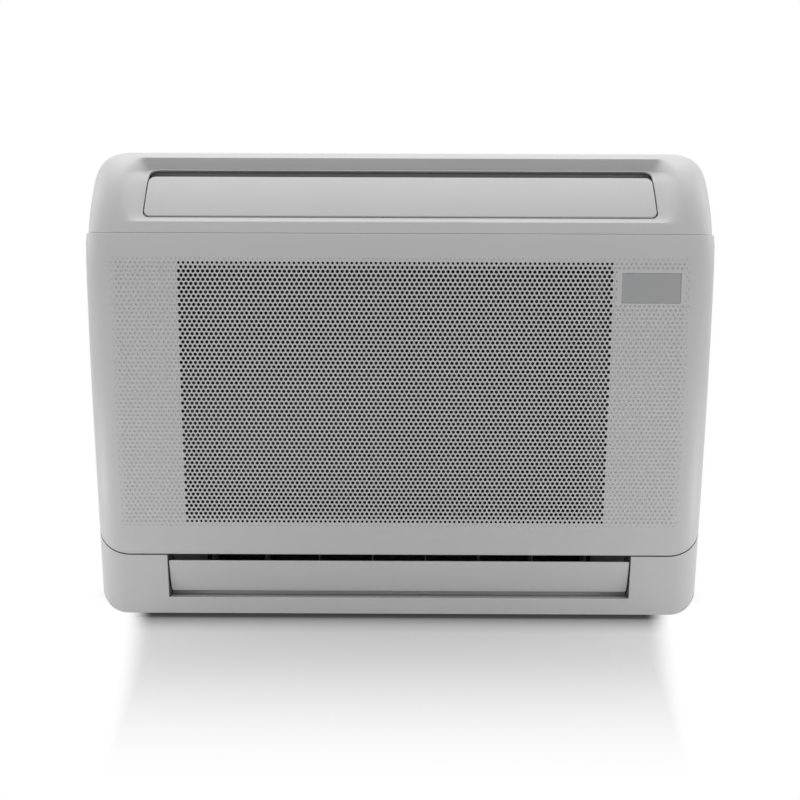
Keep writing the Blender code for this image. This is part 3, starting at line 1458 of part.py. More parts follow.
def rear_chassis(shop):
    """The back pan of the unit, with its screw posts, and the wall plate that it hangs on."""
    inset = WALL + SEAT
    body = casing_solid(shop, inset, CHASSIS_BACK)
    body = shop.common(body, shop.box((-REACH, CHASSIS_RIM_FRONT, -REACH), (REACH, REACH, REACH)))
    hollow = casing_solid(shop, inset + CHASSIS_RIM, CHASSIS_BACK - CHASSIS_WALL)
    body = shop.cut(body, hollow)
    wall = CHASSIS_BACK - CHASSIS_WALL
    front = FRAME_FRONT + FRAME_THICKNESS + SEAT
    for x, z in posts():
        post = shop.rod((x, front, z), (x, wall + 0.001, z), POST_RADIUS)
        end = (x, front + SCREW_LENGTH, z)
        bore = shop.rod((x, front - 0.01, z), end, SCREW_SHANK_RADIUS + SEAT, SIDES_HOLE)
        body = shop.join(body, shop.cut(post, bore))
    for x in (BOX_LEFT + 0.012, BOX_RIGHT - 0.012):
        for z in (BOX_BOTTOM + 0.02, BOX_TOP - 0.02):
            start = (x, BOX_BACK + SEAT, z)
            body = shop.join(body, shop.rod(start, (x, wall + 0.001, z), BOX_POST_RADIUS))
    start = (PIPE_X, 0, PASSAGE_Z)
    passage = shop.rod(start, (PIPE_X, REACH, PASSAGE_Z), PASSAGE_RADIUS, SIDES_MEDIUM)
    body = shop.cut(body, passage)
    slots = []
    for x in (-HOOK_X, HOOK_X):
        low = (x - HOOK_WIDTH / 2 - 0.002, wall - 0.01, HOOK_Z - SEAT)
        high = (x + HOOK_WIDTH / 2 + 0.002, REACH, HOOK_Z + HOOK_LIP + 0.002)
        slots.append(shop.box(low, high))
    body = shop.cut(body, shop.group(slots))
    shop.finish(body, "rear_chassis", "frame_plastic", smooth=True)
    wall_plate(shop)


def wall_plate(shop):
    back = DEPTH / 2
    front = back - PLATE_THICKNESS
    half = PLATE_WIDTH / 2
    body = shop.box((-half, front, PLATE_BOTTOM), (half, back, PLATE_TOP))
    holes = []
    for i in range(PLATE_HOLES):
        x = -half + 0.02 + (PLATE_WIDTH - 0.04) * i / (PLATE_HOLES - 1)
        for z in (PLATE_BOTTOM + 0.015, PLATE_TOP - 0.015):
            start = (x, front - 0.01, z)
            holes.append(shop.rod(start, (x, back + 0.01, z), PLATE_HOLE_RADIUS, SIDES_HOLE))
    body = shop.cut(body, shop.group(holes))
    for x in (-HOOK_X, HOOK_X):
        reach = back - HOOK_REACH
        outline = [
            (front + 0.0008, HOOK_Z),
            (front + 0.0008, HOOK_Z + PLATE_THICKNESS),
            (reach + PLATE_THICKNESS, HOOK_Z + PLATE_THICKNESS),
            (reach + PLATE_THICKNESS, HOOK_Z + HOOK_LIP),
            (reach, HOOK_Z + HOOK_LIP),
            (reach, HOOK_Z),
        ]
        body = shop.join(body, shop.plate(outline, "X", x - HOOK_WIDTH / 2, x + HOOK_WIDTH / 2))
    shop.finish(body, "wall_plate", "zinc_steel")


def electrics(shop):
    control_box(shop)
    display_box(shop)
    step_motors(shop)


def control_box(shop):
    """The metal-lidded box on the right with its circuit board and the supply's terminal block."""
    body = shop.box((BOX_LEFT, BOX_FRONT, BOX_BOTTOM), (BOX_RIGHT, BOX_BACK, BOX_TOP))
    low = (BOX_LEFT + BOX_WALL, BOX_FRONT - 0.01, BOX_BOTTOM + BOX_WALL)
    high = (BOX_RIGHT - BOX_WALL, BOX_BACK - BOX_WALL, BOX_TOP - BOX_WALL)
    body = shop.cut(body, shop.box(low, high))
    floor = BOX_BACK - BOX_WALL
    face = floor - BOARD_STAND_OFF - SEAT
    board_bottom = BOX_BOTTOM + BOX_WALL + TERMINAL_HEIGHT + 0.026
    low = (BOX_LEFT + BOX_WALL + 0.004, face - BOARD_THICKNESS, board_bottom)
    high = (BOX_RIGHT - BOX_WALL - 0.004, face, BOX_TOP - BOX_WALL - 0.006)
    studs = []
    for x in (low[0] + 0.006, high[0] - 0.006):
        for z in (low[2] + 0.006, high[2] - 0.006):
            start = (x, floor - BOARD_STAND_OFF, z)
            studs.append(shop.rod(start, (x, floor + 0.0008, z), 0.003, SIDES_HOLE))
    body = shop.join(body, shop.group(studs))
    shop.finish(body, "control_box", "frame_plastic")
    circuit_board(shop, low, high)
    low = (BOX_LEFT, BOX_FRONT - SEAT - BOX_WALL, board_bottom - 0.008)
    lid = shop.box(low, (BOX_RIGHT, BOX_FRONT - SEAT, BOX_TOP))
    shop.finish(lid, "control_box_cover", "zinc_steel")
    terminal_block(shop, floor - SEAT)


def circuit_board(shop, low, high):
    """The board between two corners, with its capacitor, transformer and relay as blocks."""
    board = shop.box(low, high)
    blocks = (
        (0.03, 0.05, 0.020, 0.026, 0.030),
        (0.07, 0.06, 0.026, 0.012, 0.026),
        (0.06, 0.14, 0.016, 0.022, 0.016),
    )
    for x, z, wide, deep, tall in blocks:
        start = (low[0] + x, low[1] - deep, low[2] + z)
        end = (low[0] + x + wide, low[1] + 0.0004, low[2] + z + tall)
        board = shop.join(board, shop.box(start, end))
    shop.finish(board, "circuit_board", "board_green")


def terminal_block(shop, back):
    """A block with one open cell for each wire of the supply."""
    bottom = BOX_BOTTOM + BOX_WALL + 0.008
    top = bottom + TERMINAL_HEIGHT
    low = (BOX_LEFT + 0.014, back - TERMINAL_DEPTH, bottom)
    high = (BOX_RIGHT - 0.014, back, top)
    block = shop.box(low, high)
    rib = 0.002
    width = (high[0] - low[0] - (TERMINALS + 1) * rib) / TERMINALS
    pockets = []
    for i in range(TERMINALS):
        x = low[0] + rib + i * (width + rib)
        start = (x, low[1] - 0.01, bottom + 0.006)
        pockets.append(shop.box(start, (x + width, low[1] + 0.010, top + 0.01)))
    shop.finish(shop.cut(block, shop.group(pockets)), "terminal_block", "black_plastic")


def display_box(shop):
    """The display's case on the inner frame, close behind the panel's window."""
    half = DISPLAY_WIDTH / 2
    low = (WINDOW_X - half, DISPLAY_FRONT, WINDOW_Z - DISPLAY_HEIGHT / 2)
    high = (WINDOW_X + half, FRAME_FRONT - SEAT, WINDOW_Z + DISPLAY_HEIGHT / 2)
    body = shop.box(low, high)
    bevel_edges(body, 0.001)
    shop.finish(body, "display_box", "black_plastic")


def step_motors(shop):
    """The small motors that turn the flaps, on the ducts' right end walls."""
    places = (
        ("upper_flap_motor", UPPER_WIDTH / 2, upper_axis(), RECESS_OVERLAP + WALL),
        ("lower_flap_motor", LOWER_WIDTH / 2, lower_axis(), 0.004),
    )
    for name, inner, (y, z), nose in places:
        seat = inner + DUCT_END_WALL + SEAT
        start = seat + nose
        end = start + STEP_MOTOR_LENGTH
        body = shop.rod((start, y, z), (end, y, z), STEP_MOTOR_RADIUS, SIDES_MEDIUM)
        tube = shop.rod((seat, y, z), (start + 0.001, y, z), STEP_MOTOR_NOSE_RADIUS)
        shop.finish(shop.join(body, tube), name, "zinc_steel", smooth=True)


main()
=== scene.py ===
"""Looks of the console air conditioner: its casing, perforated panel, flaps and filter nets, the
finishes of the parts inside, and the studio round it. Metres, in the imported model's frame."""

import json
import math

import bmesh
import bpy
import numpy as np
from bpy.props import FloatProperty, FloatVectorProperty, IntProperty, PointerProperty
from mathutils import Matrix, Vector


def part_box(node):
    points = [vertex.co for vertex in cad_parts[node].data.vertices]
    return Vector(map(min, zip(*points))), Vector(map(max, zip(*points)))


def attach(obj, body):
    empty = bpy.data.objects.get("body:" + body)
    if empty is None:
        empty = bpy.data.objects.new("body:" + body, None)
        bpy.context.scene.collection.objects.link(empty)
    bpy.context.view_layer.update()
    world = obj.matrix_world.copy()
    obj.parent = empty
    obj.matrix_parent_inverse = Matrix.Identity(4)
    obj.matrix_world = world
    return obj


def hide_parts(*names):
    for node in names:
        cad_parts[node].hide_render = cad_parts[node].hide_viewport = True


bl_info = {
    "name": "Console air conditioner looks",
    "version": (1, 0, 0),
    "blender": (4, 5, 0),
    "location": "3D View > Sidebar > Conditioner",
    "description": "Dresses the packed air conditioner and sets its studio",
    "category": "Object",
}

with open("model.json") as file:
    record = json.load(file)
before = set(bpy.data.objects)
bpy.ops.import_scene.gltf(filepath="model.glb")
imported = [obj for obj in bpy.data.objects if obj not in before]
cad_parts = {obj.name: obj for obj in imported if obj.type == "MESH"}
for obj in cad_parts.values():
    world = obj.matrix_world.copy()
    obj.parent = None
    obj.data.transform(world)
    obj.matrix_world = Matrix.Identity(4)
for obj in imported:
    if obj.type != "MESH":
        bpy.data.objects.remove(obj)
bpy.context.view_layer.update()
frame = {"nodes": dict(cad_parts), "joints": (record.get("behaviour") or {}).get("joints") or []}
casing_low, casing_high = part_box("front_casing")


def length(name, description, default):
    return FloatProperty(
        name=name,
        description=description,
        default=default,
        subtype="DISTANCE",
        unit="LENGTH",
        precision=4,
    )


def colour(name, description, default):
    return FloatVectorProperty(
        name=name,
        description=description,
        default=default,
        subtype="COLOR",
        min=0.0,
        max=1.0,
        size=3,
    )


def plain(name, description, default):
    return FloatProperty(name=name, description=description, default=default)


def whole(name, description, default):
    return IntProperty(name=name, description=description, default=default)


def tilt(name, description, degrees):
    return FloatProperty(
        name=name, description=description, default=math.radians(degrees), subtype="ANGLE"
    )


def span(name, description, start, end):
    return FloatVectorProperty(
        name=name, description=description + ", start and end", size=2, default=(start, end)
    )


class FormSizes(bpy.types.PropertyGroup):
    """Sizes of the unit's outer form"""

    width: length("Width", "Across the side walls", casing_high.x - casing_low.x)
    height: length("Height", "From the floor to the top", casing_high.z)
    depth: length("Depth", "From the front to the wall", 0.200)
    wall: length("Wall", "Thickness of the moulded skin", 0.0025)
    lean: plain("Lean", "How far the lower front leans back for each metre down", 0.06)
    bow_start: length("Bow start", "Height where the front starts to bow", 0.240)
    crown_start: length("Crown start", "Height where the crown starts", 0.460)
    crown_depth: length("Crown depth", "How far back the crown rolls", 0.112)
    crown_drop: length("Crown drop", "How much lower the crown's front is than the top", 0.0023)
    edge_width: length("Edge width", "Width of the rounded side edge seen from the front", 0.037)
    edge_depth: length("Edge depth", "Depth of the rounded side edge", 0.018)
    foot: length("Foot radius", "Rounding along the foot of the front", 0.0014)
    lift: length("Foot gap", "Height of the front's lower edge above the floor", 0.0064)
    plinth_set: length("Plinth set-back", "How far the plinth is behind the front's foot", 0.022)
    plinth_end: length("Plinth end", "How far its ends are inside the flat of the front", 0.024)
    tuck: length("Tuck", "How much narrower the casing is above the panel, on each side", 0.0026)
    tuck_low: length("Tuck start", "Height where the casing starts to widen again", 0.545)
    tuck_high: length("Tuck end", "Height where it has its full width again", 0.612)
    rise: length("Corner rise", "How high the bottom corners are rounded", 0.043)
    back_lift: length("Back gap", "Height of the side walls' lower edge at the back", 0.0004)
    back_rise: length("Back corner rise", "How high those corners are at the back", 0.0345)
    back: length("Back", "Where the casing's side walls end", casing_high.y)


class OutletSizes(bpy.types.PropertyGroup):
    """Sizes of the two air outlets"""

    ledge_low: length("Ledge bottom", "Lower edge of the ledge under the upper flap", 0.5170)
    ledge_high: length("Ledge top", "Upper edge of that ledge", 0.5220)
    ledge_depth: length("Ledge depth", "Set-back of the ledge's upper edge", 0.0058)
    rim: length("Rim height", "Height of the recess's rim under the crown", 0.6053)
    lip: length("Lip height", "Lower edge of the wall under the rim", 0.5906)
    lip_set: length("Lip set-back", "How far the lip is behind the rim", 0.0025)
    fade_start: length("Fade start", "Where the recess starts to run out, from the middle", 0.3262)
    fade_end: length("Fade end", "Where the recess has run out", 0.3560)
    upper_width: length("Upper opening", "Width of the upper outlet at its lower edge", 0.6484)
    flare: length("Flare", "How much wider the upper outlet gets upwards, on each side", 0.0017)
    lower_width: length("Lower opening", "Width of the lower outlet", 0.6096)
    lower_bottom: length("Lower opening bottom", "Height of the lower outlet's floor", 0.0288)
    gap: length("Flap gap", "Gap round a flap", 0.0019)


class PanelSizes(bpy.types.PropertyGroup):
    """Sizes of the front panel and its perforations"""

    bottom: length("Bottom seam", "Height of the seam below the panel", 0.0888)
    top: length("Top seam", "Height of the seam above the panel", 0.5030)
    seam: length("Seam", "Gap between the panel and the casing", 0.0003)
    swing: length("Swing room", "Gap under the panel that its edge swings into", 0.0017)
    rim: length("Rim", "How far the panel wraps round the sides", 0.0360)
    corner_width: length("Corner width", "Width of the seam's rounded lower corners", 0.045)
    corner_height: length("Corner height", "Height of those corners", 0.036)
    corner_share: plain("Corner share", "Share of a corner's width where it turns level", 0.975)
    edge: length("Edge rounding", "Rounding of the panel's edges", 0.0005)
    pitch: length("Hole pitch", "Distance between neighbouring holes", 0.006)
    hole: length("Hole width", "Width of one hole", 0.0043)
    draft: plain("Hole draft", "How much wider a hole is at the back of the skin", 1.15)
    middle: length("Lattice height", "Height of the row that the others are counted from", 0.31012)
    dimple: length("Dimple width", "Width of one blind dimple", 0.0031)
    dimple_depth: length("Dimple depth", "Depth of one blind dimple", 0.0010)
    screen: length("Grille thickness", "Thickness of the skin at the perforations", 0.0012)
    hole_left: whole("First hole", "First hole's place in half pitches", -92)
    hole_right: whole("Last hole", "Last hole's place in half pitches", 88)
    hole_low: whole("Lowest row", "Lowest row of holes", -34)
    hole_high: whole("Highest row", "Highest row of holes", 30)


class FilterSizes(bpy.types.PropertyGroup):
    """Sizes of the dust filters' nets"""

    pitch: length("Net pitch", "Distance between neighbouring threads", 0.0009)
    thread: length("Thread", "Thickness of one thread", 0.00040)
    grip: length("Grip", "How far inside the filter's edge the net is held", 0.004)


class Colours(bpy.types.PropertyGroup):
    """Colours of the finishes"""

    casing: colour("Casing", "Moulded casing, panel and flaps", (0.545, 0.545, 0.548))
    # Dark so that what shows through the panel's holes looks black: the mouldings' own colour,
    # darkened as painted shade.
    frame: colour("Frame", "Structural mouldings inside", (0.055, 0.056, 0.058))
    chassis: colour("Chassis", "Back pan", (0.30, 0.305, 0.31))
    window: colour("Window", "Tinted display window", (0.352, 0.354, 0.361))
    foam: colour("Duct", "Foam ducts", (0.13, 0.13, 0.135))
    fan: colour("Fan", "Fan wheel", (0.05, 0.05, 0.055))
    # Also the finish of the outlet skirt, the lower outlet's cheeks and the plinth: there its
    # darkness is painted shade, on the vanes it is their own colour.
    vane: colour("Vane", "Vanes and their links", (0.24, 0.24, 0.245))
    net: colour("Net", "Filter screens", (0.012, 0.0125, 0.013))
    fins: colour("Fins", "Heat exchanger fins", (0.66, 0.68, 0.70))
    copper: colour("Copper", "Refrigerant pipes", (0.72, 0.38, 0.22))
    brass: colour("Brass", "Flare nuts", (0.70, 0.55, 0.25))
    zinc: colour("Zinc", "Plated steel", (0.55, 0.57, 0.60))
    board: colour("Board", "Circuit board", (0.03, 0.16, 0.07))
    black: colour("Black", "Motors and terminals", (0.025, 0.025, 0.027))


class StudioSettings(bpy.types.PropertyGroup):
    """Camera and light"""

    camera: FloatVectorProperty(
        name="Camera place",
        description="Where the camera stands",
        default=(0.00218, -1.12434, 0.40476),
        subtype="TRANSLATION",
        unit="LENGTH",
        precision=5,
    )
    pitch: tilt("Pitch", "How far the camera looks down", 6.1289)
    yaw: tilt("Yaw", "How far the camera turns to the right", -0.0881)
    roll: tilt("Roll", "Camera roll", 0.2056)
    lens: plain("Lens", "Focal length in millimetres", 36.6)
    overhead: plain("Overhead light", "Power of the overhead softbox", 19.3)
    side: plain("Side light", "Power of each side softbox", 9.0)
    low: plain("Low light", "Power of each low softbox", 0.8)
    fill: plain("Room light", "Level of the room's own light", 0.50)
    floor_gain: plain("Floor brightness", "How light the floor is drawn", 0.68)
    floor_least: plain("Least floor light", "Light of the floor in its darkest corner", 0.045)
    floor_albedo: plain("Floor bounce", "How much light the floor gives back", 0.78)
    floor_contact: plain("Contact shade", "Depth of the shade in the corner", 1.2)
    floor_sides: span("Side fade", "Where the floor turns white at the sides", 0.350, 0.386)
    floor_splay: plain("Side splay", "How much the shaded floor narrows towards the front", 0.28)
    floor_front: span("Front fade", "Where the floor turns white in front", -0.18, -0.47)
    floor_back: span("Back fade", "Where the floor turns white behind", -0.03, 0.04)


class Dressing(bpy.types.PropertyGroup):
    """All settings of the dressed unit"""

    form: PointerProperty(type=FormSizes)
    outlets: PointerProperty(type=OutletSizes)
    panel: PointerProperty(type=PanelSizes)
    filters: PointerProperty(type=FilterSizes)
    colours: PointerProperty(type=Colours)
    studio: PointerProperty(type=StudioSettings)


class Form:
    """The outer form: an upright section in Y and Z, carried across X and turned back at the ends.

    A turn is the angle round that side edge, from 0 on the front to a right angle on the side."""

    # Lowest and highest row of the table of surface distances.
    ARC_HEIGHTS = (0.05, 0.56)
    # Steps that find the section's own parameter for a height.
    HEIGHT_STEPS = 12
    # Height from which the casing is narrower than the panel.
    TUCKED_FROM = 0.45

    def __init__(self, sizes):
        self.s = sizes
        self.half = sizes.width / 2
        self.start = self.half - sizes.edge_width
        self.front = -sizes.depth / 2
        self.top = sizes.height - sizes.crown_drop

    def section(self, z):
        """Y of the front at heights z, with the inward normal (y, z) there."""
        s = self.s
        z = np.asarray(z, float)
        bow = s.lean / (2 * (s.crown_start - s.bow_start))
        foot = self.front + bow * (s.crown_start - s.bow_start) ** 2
        y = self.front + bow * (s.crown_start - z) ** 2
        slope = -2 * bow * (s.crown_start - z)
        y = np.where(z < s.bow_start, foot + s.lean * (s.bow_start - z), y)
        slope = np.where(z < s.bow_start, -s.lean, slope)
        crown = self.top - s.crown_start
        rise = np.clip((z - s.crown_start) / crown, 0, 0.99999)
        root = np.sqrt(1 - rise**2)
        y = np.where(z > s.crown_start, self.front + s.crown_depth * (1 - root), y)
        slope = np.where(z > s.crown_start, s.crown_depth * rise / root / crown, slope)
        size = np.hypot(1, slope)
        return y, 1 / size, -slope / size

    def front_y(self, z):
        """Y of the plain front at height z."""
        return float(self.section(z)[0])

    def arc_table(self):
        """Heights, and the distance along the front's surface up to each."""
        z = np.linspace(*self.ARC_HEIGHTS, 4001)
        y = self.section(z)[0]
        run = np.concatenate([[0], np.cumsum(np.hypot(np.diff(y), np.diff(z)))])
        return z, run

    def drawn_in(self, turn, inset):
        """How far a point is inside the section's front, at a turn round the side edge."""
        return inset + (self.s.edge_depth - inset) * (1 - np.cos(turn))

    def across(self, x, turn, inset):
        """X of a point: x where the front is straight, and the edge's quarter ellipse beyond."""
        round_edge = self.start + (self.s.edge_width - inset) * np.sin(turn)
        return np.where(turn > 0, np.sign(x) * round_edge, x)

    def at_height(self, x, turn, z, inset):
        """The point at that height: the section's own parameter is found for it."""
        x, turn, z, inset = np.broadcast_arrays(x, turn, z, inset)
        shrink = self.drawn_in(turn, inset)
        own = np.array(z, float)
        for _ in range(self.HEIGHT_STEPS):
            own = z - self.section(own)[2] * shrink
        y, ny, _ = self.section(own)
        return np.stack([self.across(x, turn, inset), y + ny * shrink, np.array(z, float)], -1)

    def tucked(self, x, z):
        """X drawn towards the middle where the casing is narrower than the panel."""
        s = self.s
        share = np.clip((z - s.tuck_low) / (s.tuck_high - s.tuck_low), 0, 1)
        share = np.where(z < self.TUCKED_FROM, 1.0, share * share * (3 - 2 * share))
        side = np.clip((np.abs(x) - self.half * 0.6) / (self.half * 0.4), 0, 1)
        return x - np.sign(x) * s.tuck * (1 - share) * side

    def turn_at(self, x):
        """Turn round the side edge at x, and 0 where the front is straight."""
        return np.arcsin(np.clip((np.abs(x) - self.start) / self.s.edge_width, 0, 1))


def placed(name, data):
    """A new object in the scene that holds that data."""
    obj = bpy.data.objects.new(name, data)
    bpy.context.scene.collection.objects.link(obj)
    return obj


class Net:
    """Collects points and faces, and turns them into one mesh object."""

    def __init__(self):
        self.points = []
        self.faces = []
        self.count = 0

    def add(self, points):
        """Adds points of any shape (..., 3), and returns their numbers in that shape."""
        points = np.asarray(points, float)
        numbers = self.count + np.arange(points[..., 0].size).reshape(points.shape[:-1])
        self.points.append(points.reshape(-1, 3))
        self.count += points[..., 0].size
        return numbers

    def face(self, *corners):
        """Adds faces from equal arrays of corner numbers, in order."""
        self.faces.append(np.stack([np.ravel(c) for c in corners], 1))

    def rows(self, numbers, keep=None, flip=False):
        """Adds the quads of a grid of point numbers."""
        a, b, c, d = numbers[:-1, :-1], numbers[:-1, 1:], numbers[1:, 1:], numbers[1:, :-1]
        if keep is not None:
            a, b, c, d = a[keep], b[keep], c[keep], d[keep]
        if flip:
            self.face(d, c, b, a)
        else:
            self.face(a, b, c, d)

    def fan(self, ring, centre, flip=False):
        """Triangles from each edge of a closed ring to one point."""
        after = np.roll(ring, -1)
        middle = np.full(len(ring), centre)
        if flip:
            self.face(after, ring, middle)
        else:
            self.face(ring, after, middle)

    def belt(self, first, second, flip=False):
        """Quads between two closed rings of point numbers."""
        a, b = first, np.roll(first, -1)
        d, c = second, np.roll(second, -1)
        if flip:
            self.face(d, c, b, a)
        else:
            self.face(a, b, c, d)

    def tubes(self, first, second):
        """Quads round many tubes, from each row of point numbers in first to the same in second."""
        count = first.shape[1]
        for k in range(count):
            after = (k + 1) % count
            self.face(first[:, k], first[:, after], second[:, after], second[:, k])

    def mesh(self, name):
        mesh = bpy.data.meshes.new(name)
        points = np.concatenate(self.points)
        sizes = np.concatenate([np.full(len(f), f.shape[1]) for f in self.faces])
        loops = np.concatenate([f.ravel() for f in self.faces])
        mesh.vertices.add(len(points))
        mesh.vertices.foreach_set("co", points.astype(np.float32).ravel())
        mesh.loops.add(len(loops))
        mesh.loops.foreach_set("vertex_index", loops.astype(np.int32))
        mesh.polygons.add(len(sizes))
        starts = np.concatenate([[0], np.cumsum(sizes)[:-1]])
        mesh.polygons.foreach_set("loop_start", starts.astype(np.int32))
        mesh.update(calc_edges=True)
        mesh.validate()
        return mesh

    def piece(self, name, material, sharp=35.0):
        obj = placed(name, self.mesh(name))
        obj.data.materials.append(material)
        soften(obj, sharp)
        return obj


def soften(obj, sharp):
    """Smooth shading that stays crisp at edges sharper than that angle, in degrees."""
    mesh = obj.data
    mesh.polygons.foreach_set("use_smooth", [True] * len(mesh.polygons))
    mesh.set_sharp_from_angle(angle=math.radians(sharp))


def closed(net, name, ends, weld=None):
    """The net as one solid: a face across each end ring, and all faces turned outwards."""
    mesh = net.mesh(name)
    shape = bmesh.new()
    shape.from_mesh(mesh)
    shape.verts.ensure_lookup_table()
    for ring in ends:
        shape.faces.new([shape.verts[i] for i in ring])
    if weld:
        bmesh.ops.remove_doubles(shape, verts=shape.verts, dist=weld)
        bmesh.ops.dissolve_degenerate(shape, edges=shape.edges, dist=weld / 2)
    bmesh.ops.recalc_face_normals(shape, faces=shape.faces)
    shape.to_mesh(mesh)
    shape.free()
    return placed(name, mesh)


def round_edges(obj, width, degrees=None):
    """Bevels the edges, or only those sharper than that angle."""
    bevel = obj.modifiers.new("edge rounding", "BEVEL")
    bevel.width = width
    bevel.segments = 2
    if degrees:
        bevel.limit_method = "ANGLE"
        bevel.angle_limit = math.radians(degrees)


def ordered(values):
    """The values in rising order, each once."""
    return np.array(sorted(set(np.round(values, 6))))


# Finishes


class Finish:
    """A new node material with its Principled shader, and helpers for the nodes that vary it."""

    def __init__(self, name, base, roughness, metallic=0.0, **sockets):
        self.material = bpy.data.materials.new(name)
        self.material.use_nodes = True
        self.tree = self.material.node_tree
        self.shader = self.tree.nodes["Principled BSDF"]
        self.base = tuple(base)
        self.roughness = roughness
        self.shader.inputs["Base Color"].default_value = (*base, 1)
        self.shader.inputs["Roughness"].default_value = roughness
        self.shader.inputs["Metallic"].default_value = metallic
        for socket, value in sockets.items():
            self.shader.inputs[socket.replace("_", " ")].default_value = value
        self.place = self.node("ShaderNodeTexCoord").outputs["Object"]
        self.height = None

    def node(self, kind, **settings):
        made = self.tree.nodes.new(kind)
        for key, value in settings.items():
            if isinstance(value, (int, float, tuple)) and key in made.inputs:
                made.inputs[key].default_value = value
            else:
                setattr(made, key, value)
        return made

    def link(self, output, target):
        self.tree.links.new(output, target)

    def stretched(self, scale):
        mapping = self.node("ShaderNodeMapping")
        mapping.inputs["Scale"].default_value = scale
        self.link(self.place, mapping.inputs["Vector"])
        return mapping.outputs["Vector"]

    def noise(self, size, detail=2.0, stretch=None):
        """A noise whose features are about that size in metres."""
        made = self.node("ShaderNodeTexNoise", Scale=1.0 / size, Detail=detail)
        self.link(self.stretched(stretch) if stretch else self.place, made.inputs["Vector"])
        return made.outputs["Fac"]

    def range(self, source, low, high, start=0.3, end=0.7):
        made = self.node("ShaderNodeMapRange")
        sockets = ("From Min", "From Max", "To Min", "To Max")
        for socket, value in zip(sockets, (start, end, low, high)):
            made.inputs[socket].default_value = value
        self.link(source, made.inputs["Value"])
        return made.outputs["Result"]

    def math(self, operation, first, second):
        made = self.node("ShaderNodeMath", operation=operation)
        for i, value in enumerate((first, second)):
            if isinstance(value, (int, float)):
                made.inputs[i].default_value = value
            else:
                self.link(value, made.inputs[i])
        return made.outputs[0]

    def shade(self, source, low, high):
        """The base colour between two lightnesses, by a value from 0 to 1."""
        made = self.node("ShaderNodeMix", data_type="RGBA")
        self.link(source, made.inputs["Factor"])
        made.inputs["A"].default_value = (*[c * low for c in self.base], 1)
        made.inputs["B"].default_value = (*[min(1.0, c * high) for c in self.base], 1)
        self.link(made.outputs["Result"], self.shader.inputs["Base Color"])

    def rough(self, source, low, high):
        self.link(self.range(source, low, high), self.shader.inputs["Roughness"])

    def relief(self, source, depth, strength=1.0):
        """Adds a bump of that depth in metres."""
        made = self.node("ShaderNodeBump", Strength=strength, Distance=depth)
        self.link(source, made.inputs["Height"])
        if self.height:
            self.link(self.height, made.inputs["Normal"])
        self.height = made.outputs["Normal"]
        self.link(self.height, self.shader.inputs["Normal"])


def moulded_plastic(name, base, roughness=0.42, grain=0.00035, depth=0.00002, variation=0.012):
    """Spark-textured moulded plastic: a fine grain, slow gloss changes and faint flow marks."""
    finish = Finish(name, base, roughness, IOR=1.49)
    finish.shade(finish.range(finish.noise(0.16, 3.0), 0.0, 1.0), 1 - variation, 1 + variation)
    slow = finish.noise(0.035, 4.0, (1.0, 1.0, 0.45))
    finish.rough(slow, roughness - 0.05, roughness + 0.06)
    finish.relief(finish.noise(grain, 3.0), depth)
    finish.relief(finish.noise(0.09, 1.0), 0.00006, 0.6)
    return finish


def tinted_window(name, base):
    """Smooth tinted plastic with a clear coat and slow gloss changes."""
    finish = Finish(name, base, 0.24, IOR=1.5, Coat_Weight=0.25, Coat_Roughness=0.12)
    finish.shade(finish.range(finish.noise(0.05, 2.0), 0.0, 1.0), 0.985, 1.015)
    finish.rough(finish.noise(0.03, 3.0), 0.27, 0.31)
    finish.relief(finish.noise(0.02, 2.0), 0.00002, 0.5)
    return finish


def foam(name, base):
    """Expanded foam: beads pressed together, dull."""
    finish = Finish(name, base, 0.9)
    beads = finish.node("ShaderNodeTexVoronoi", Scale=330.0)
    finish.link(finish.place, beads.inputs["Vector"])
    finish.shade(finish.range(beads.outputs["Distance"], 0.0, 1.0, 0.1, 0.7), 1.12, 0.82)
    finish.rough(finish.noise(0.01), 0.84, 0.96)
    finish.relief(beads.outputs["Distance"], -0.0003)
    return finish


def screen_net(name, base):
    """Woven thread: darker and lighter bands both ways."""
    finish = Finish(name, base, 0.7)
    waves = []
    for axis in ("X", "Z"):
        wave = finish.node("ShaderNodeTexWave", Scale=160.0, bands_direction=axis)
        finish.link(finish.place, wave.inputs["Vector"])
        waves.append(wave.outputs["Fac"])
    weave = finish.math("MAXIMUM", *waves)
    finish.shade(finish.range(weave, 0.0, 1.0, 0.3, 0.9), 0.35, 1.25)
    finish.rough(finish.noise(0.02), 0.62, 0.8)
    finish.relief(weave, 0.0003)
    return finish


def fin_pack(name, base):
    """Thin aluminium fins on edge: fine upright lines with bent patches."""
    finish = Finish(name, base, 0.35, 0.9)
    wave = finish.node("ShaderNodeTexWave", Scale=105.0, bands_direction="X", Distortion=0.6)
    wave.inputs["Detail Scale"].default_value = 0.6
    finish.link(finish.place, wave.inputs["Vector"])
    finish.shade(finish.range(wave.outputs["Fac"], 0.0, 1.0, 0.1, 0.8), 0.25, 1.0)
    finish.rough(finish.noise(0.03, 3.0), 0.28, 0.46)
    finish.relief(wave.outputs["Fac"], 0.0006)
    return finish


def drawn_metal(name, base, roughness, stretch=(1.0, 1.0, 0.15), tarnish=0.12):
    """Drawn or turned metal: fine lines along it and slow tarnish."""
    finish = Finish(name, base, roughness, 1.0)
    finish.shade(finish.range(finish.noise(0.018, 5.0), 0.0, 1.0), 1 - tarnish, 1 + tarnish / 3)
    finish.rough(finish.noise(0.006, 5.0, stretch), roughness - 0.08, roughness + 0.12)
    finish.relief(finish.noise(0.0012, 3.0, stretch), 0.00004)
    return finish


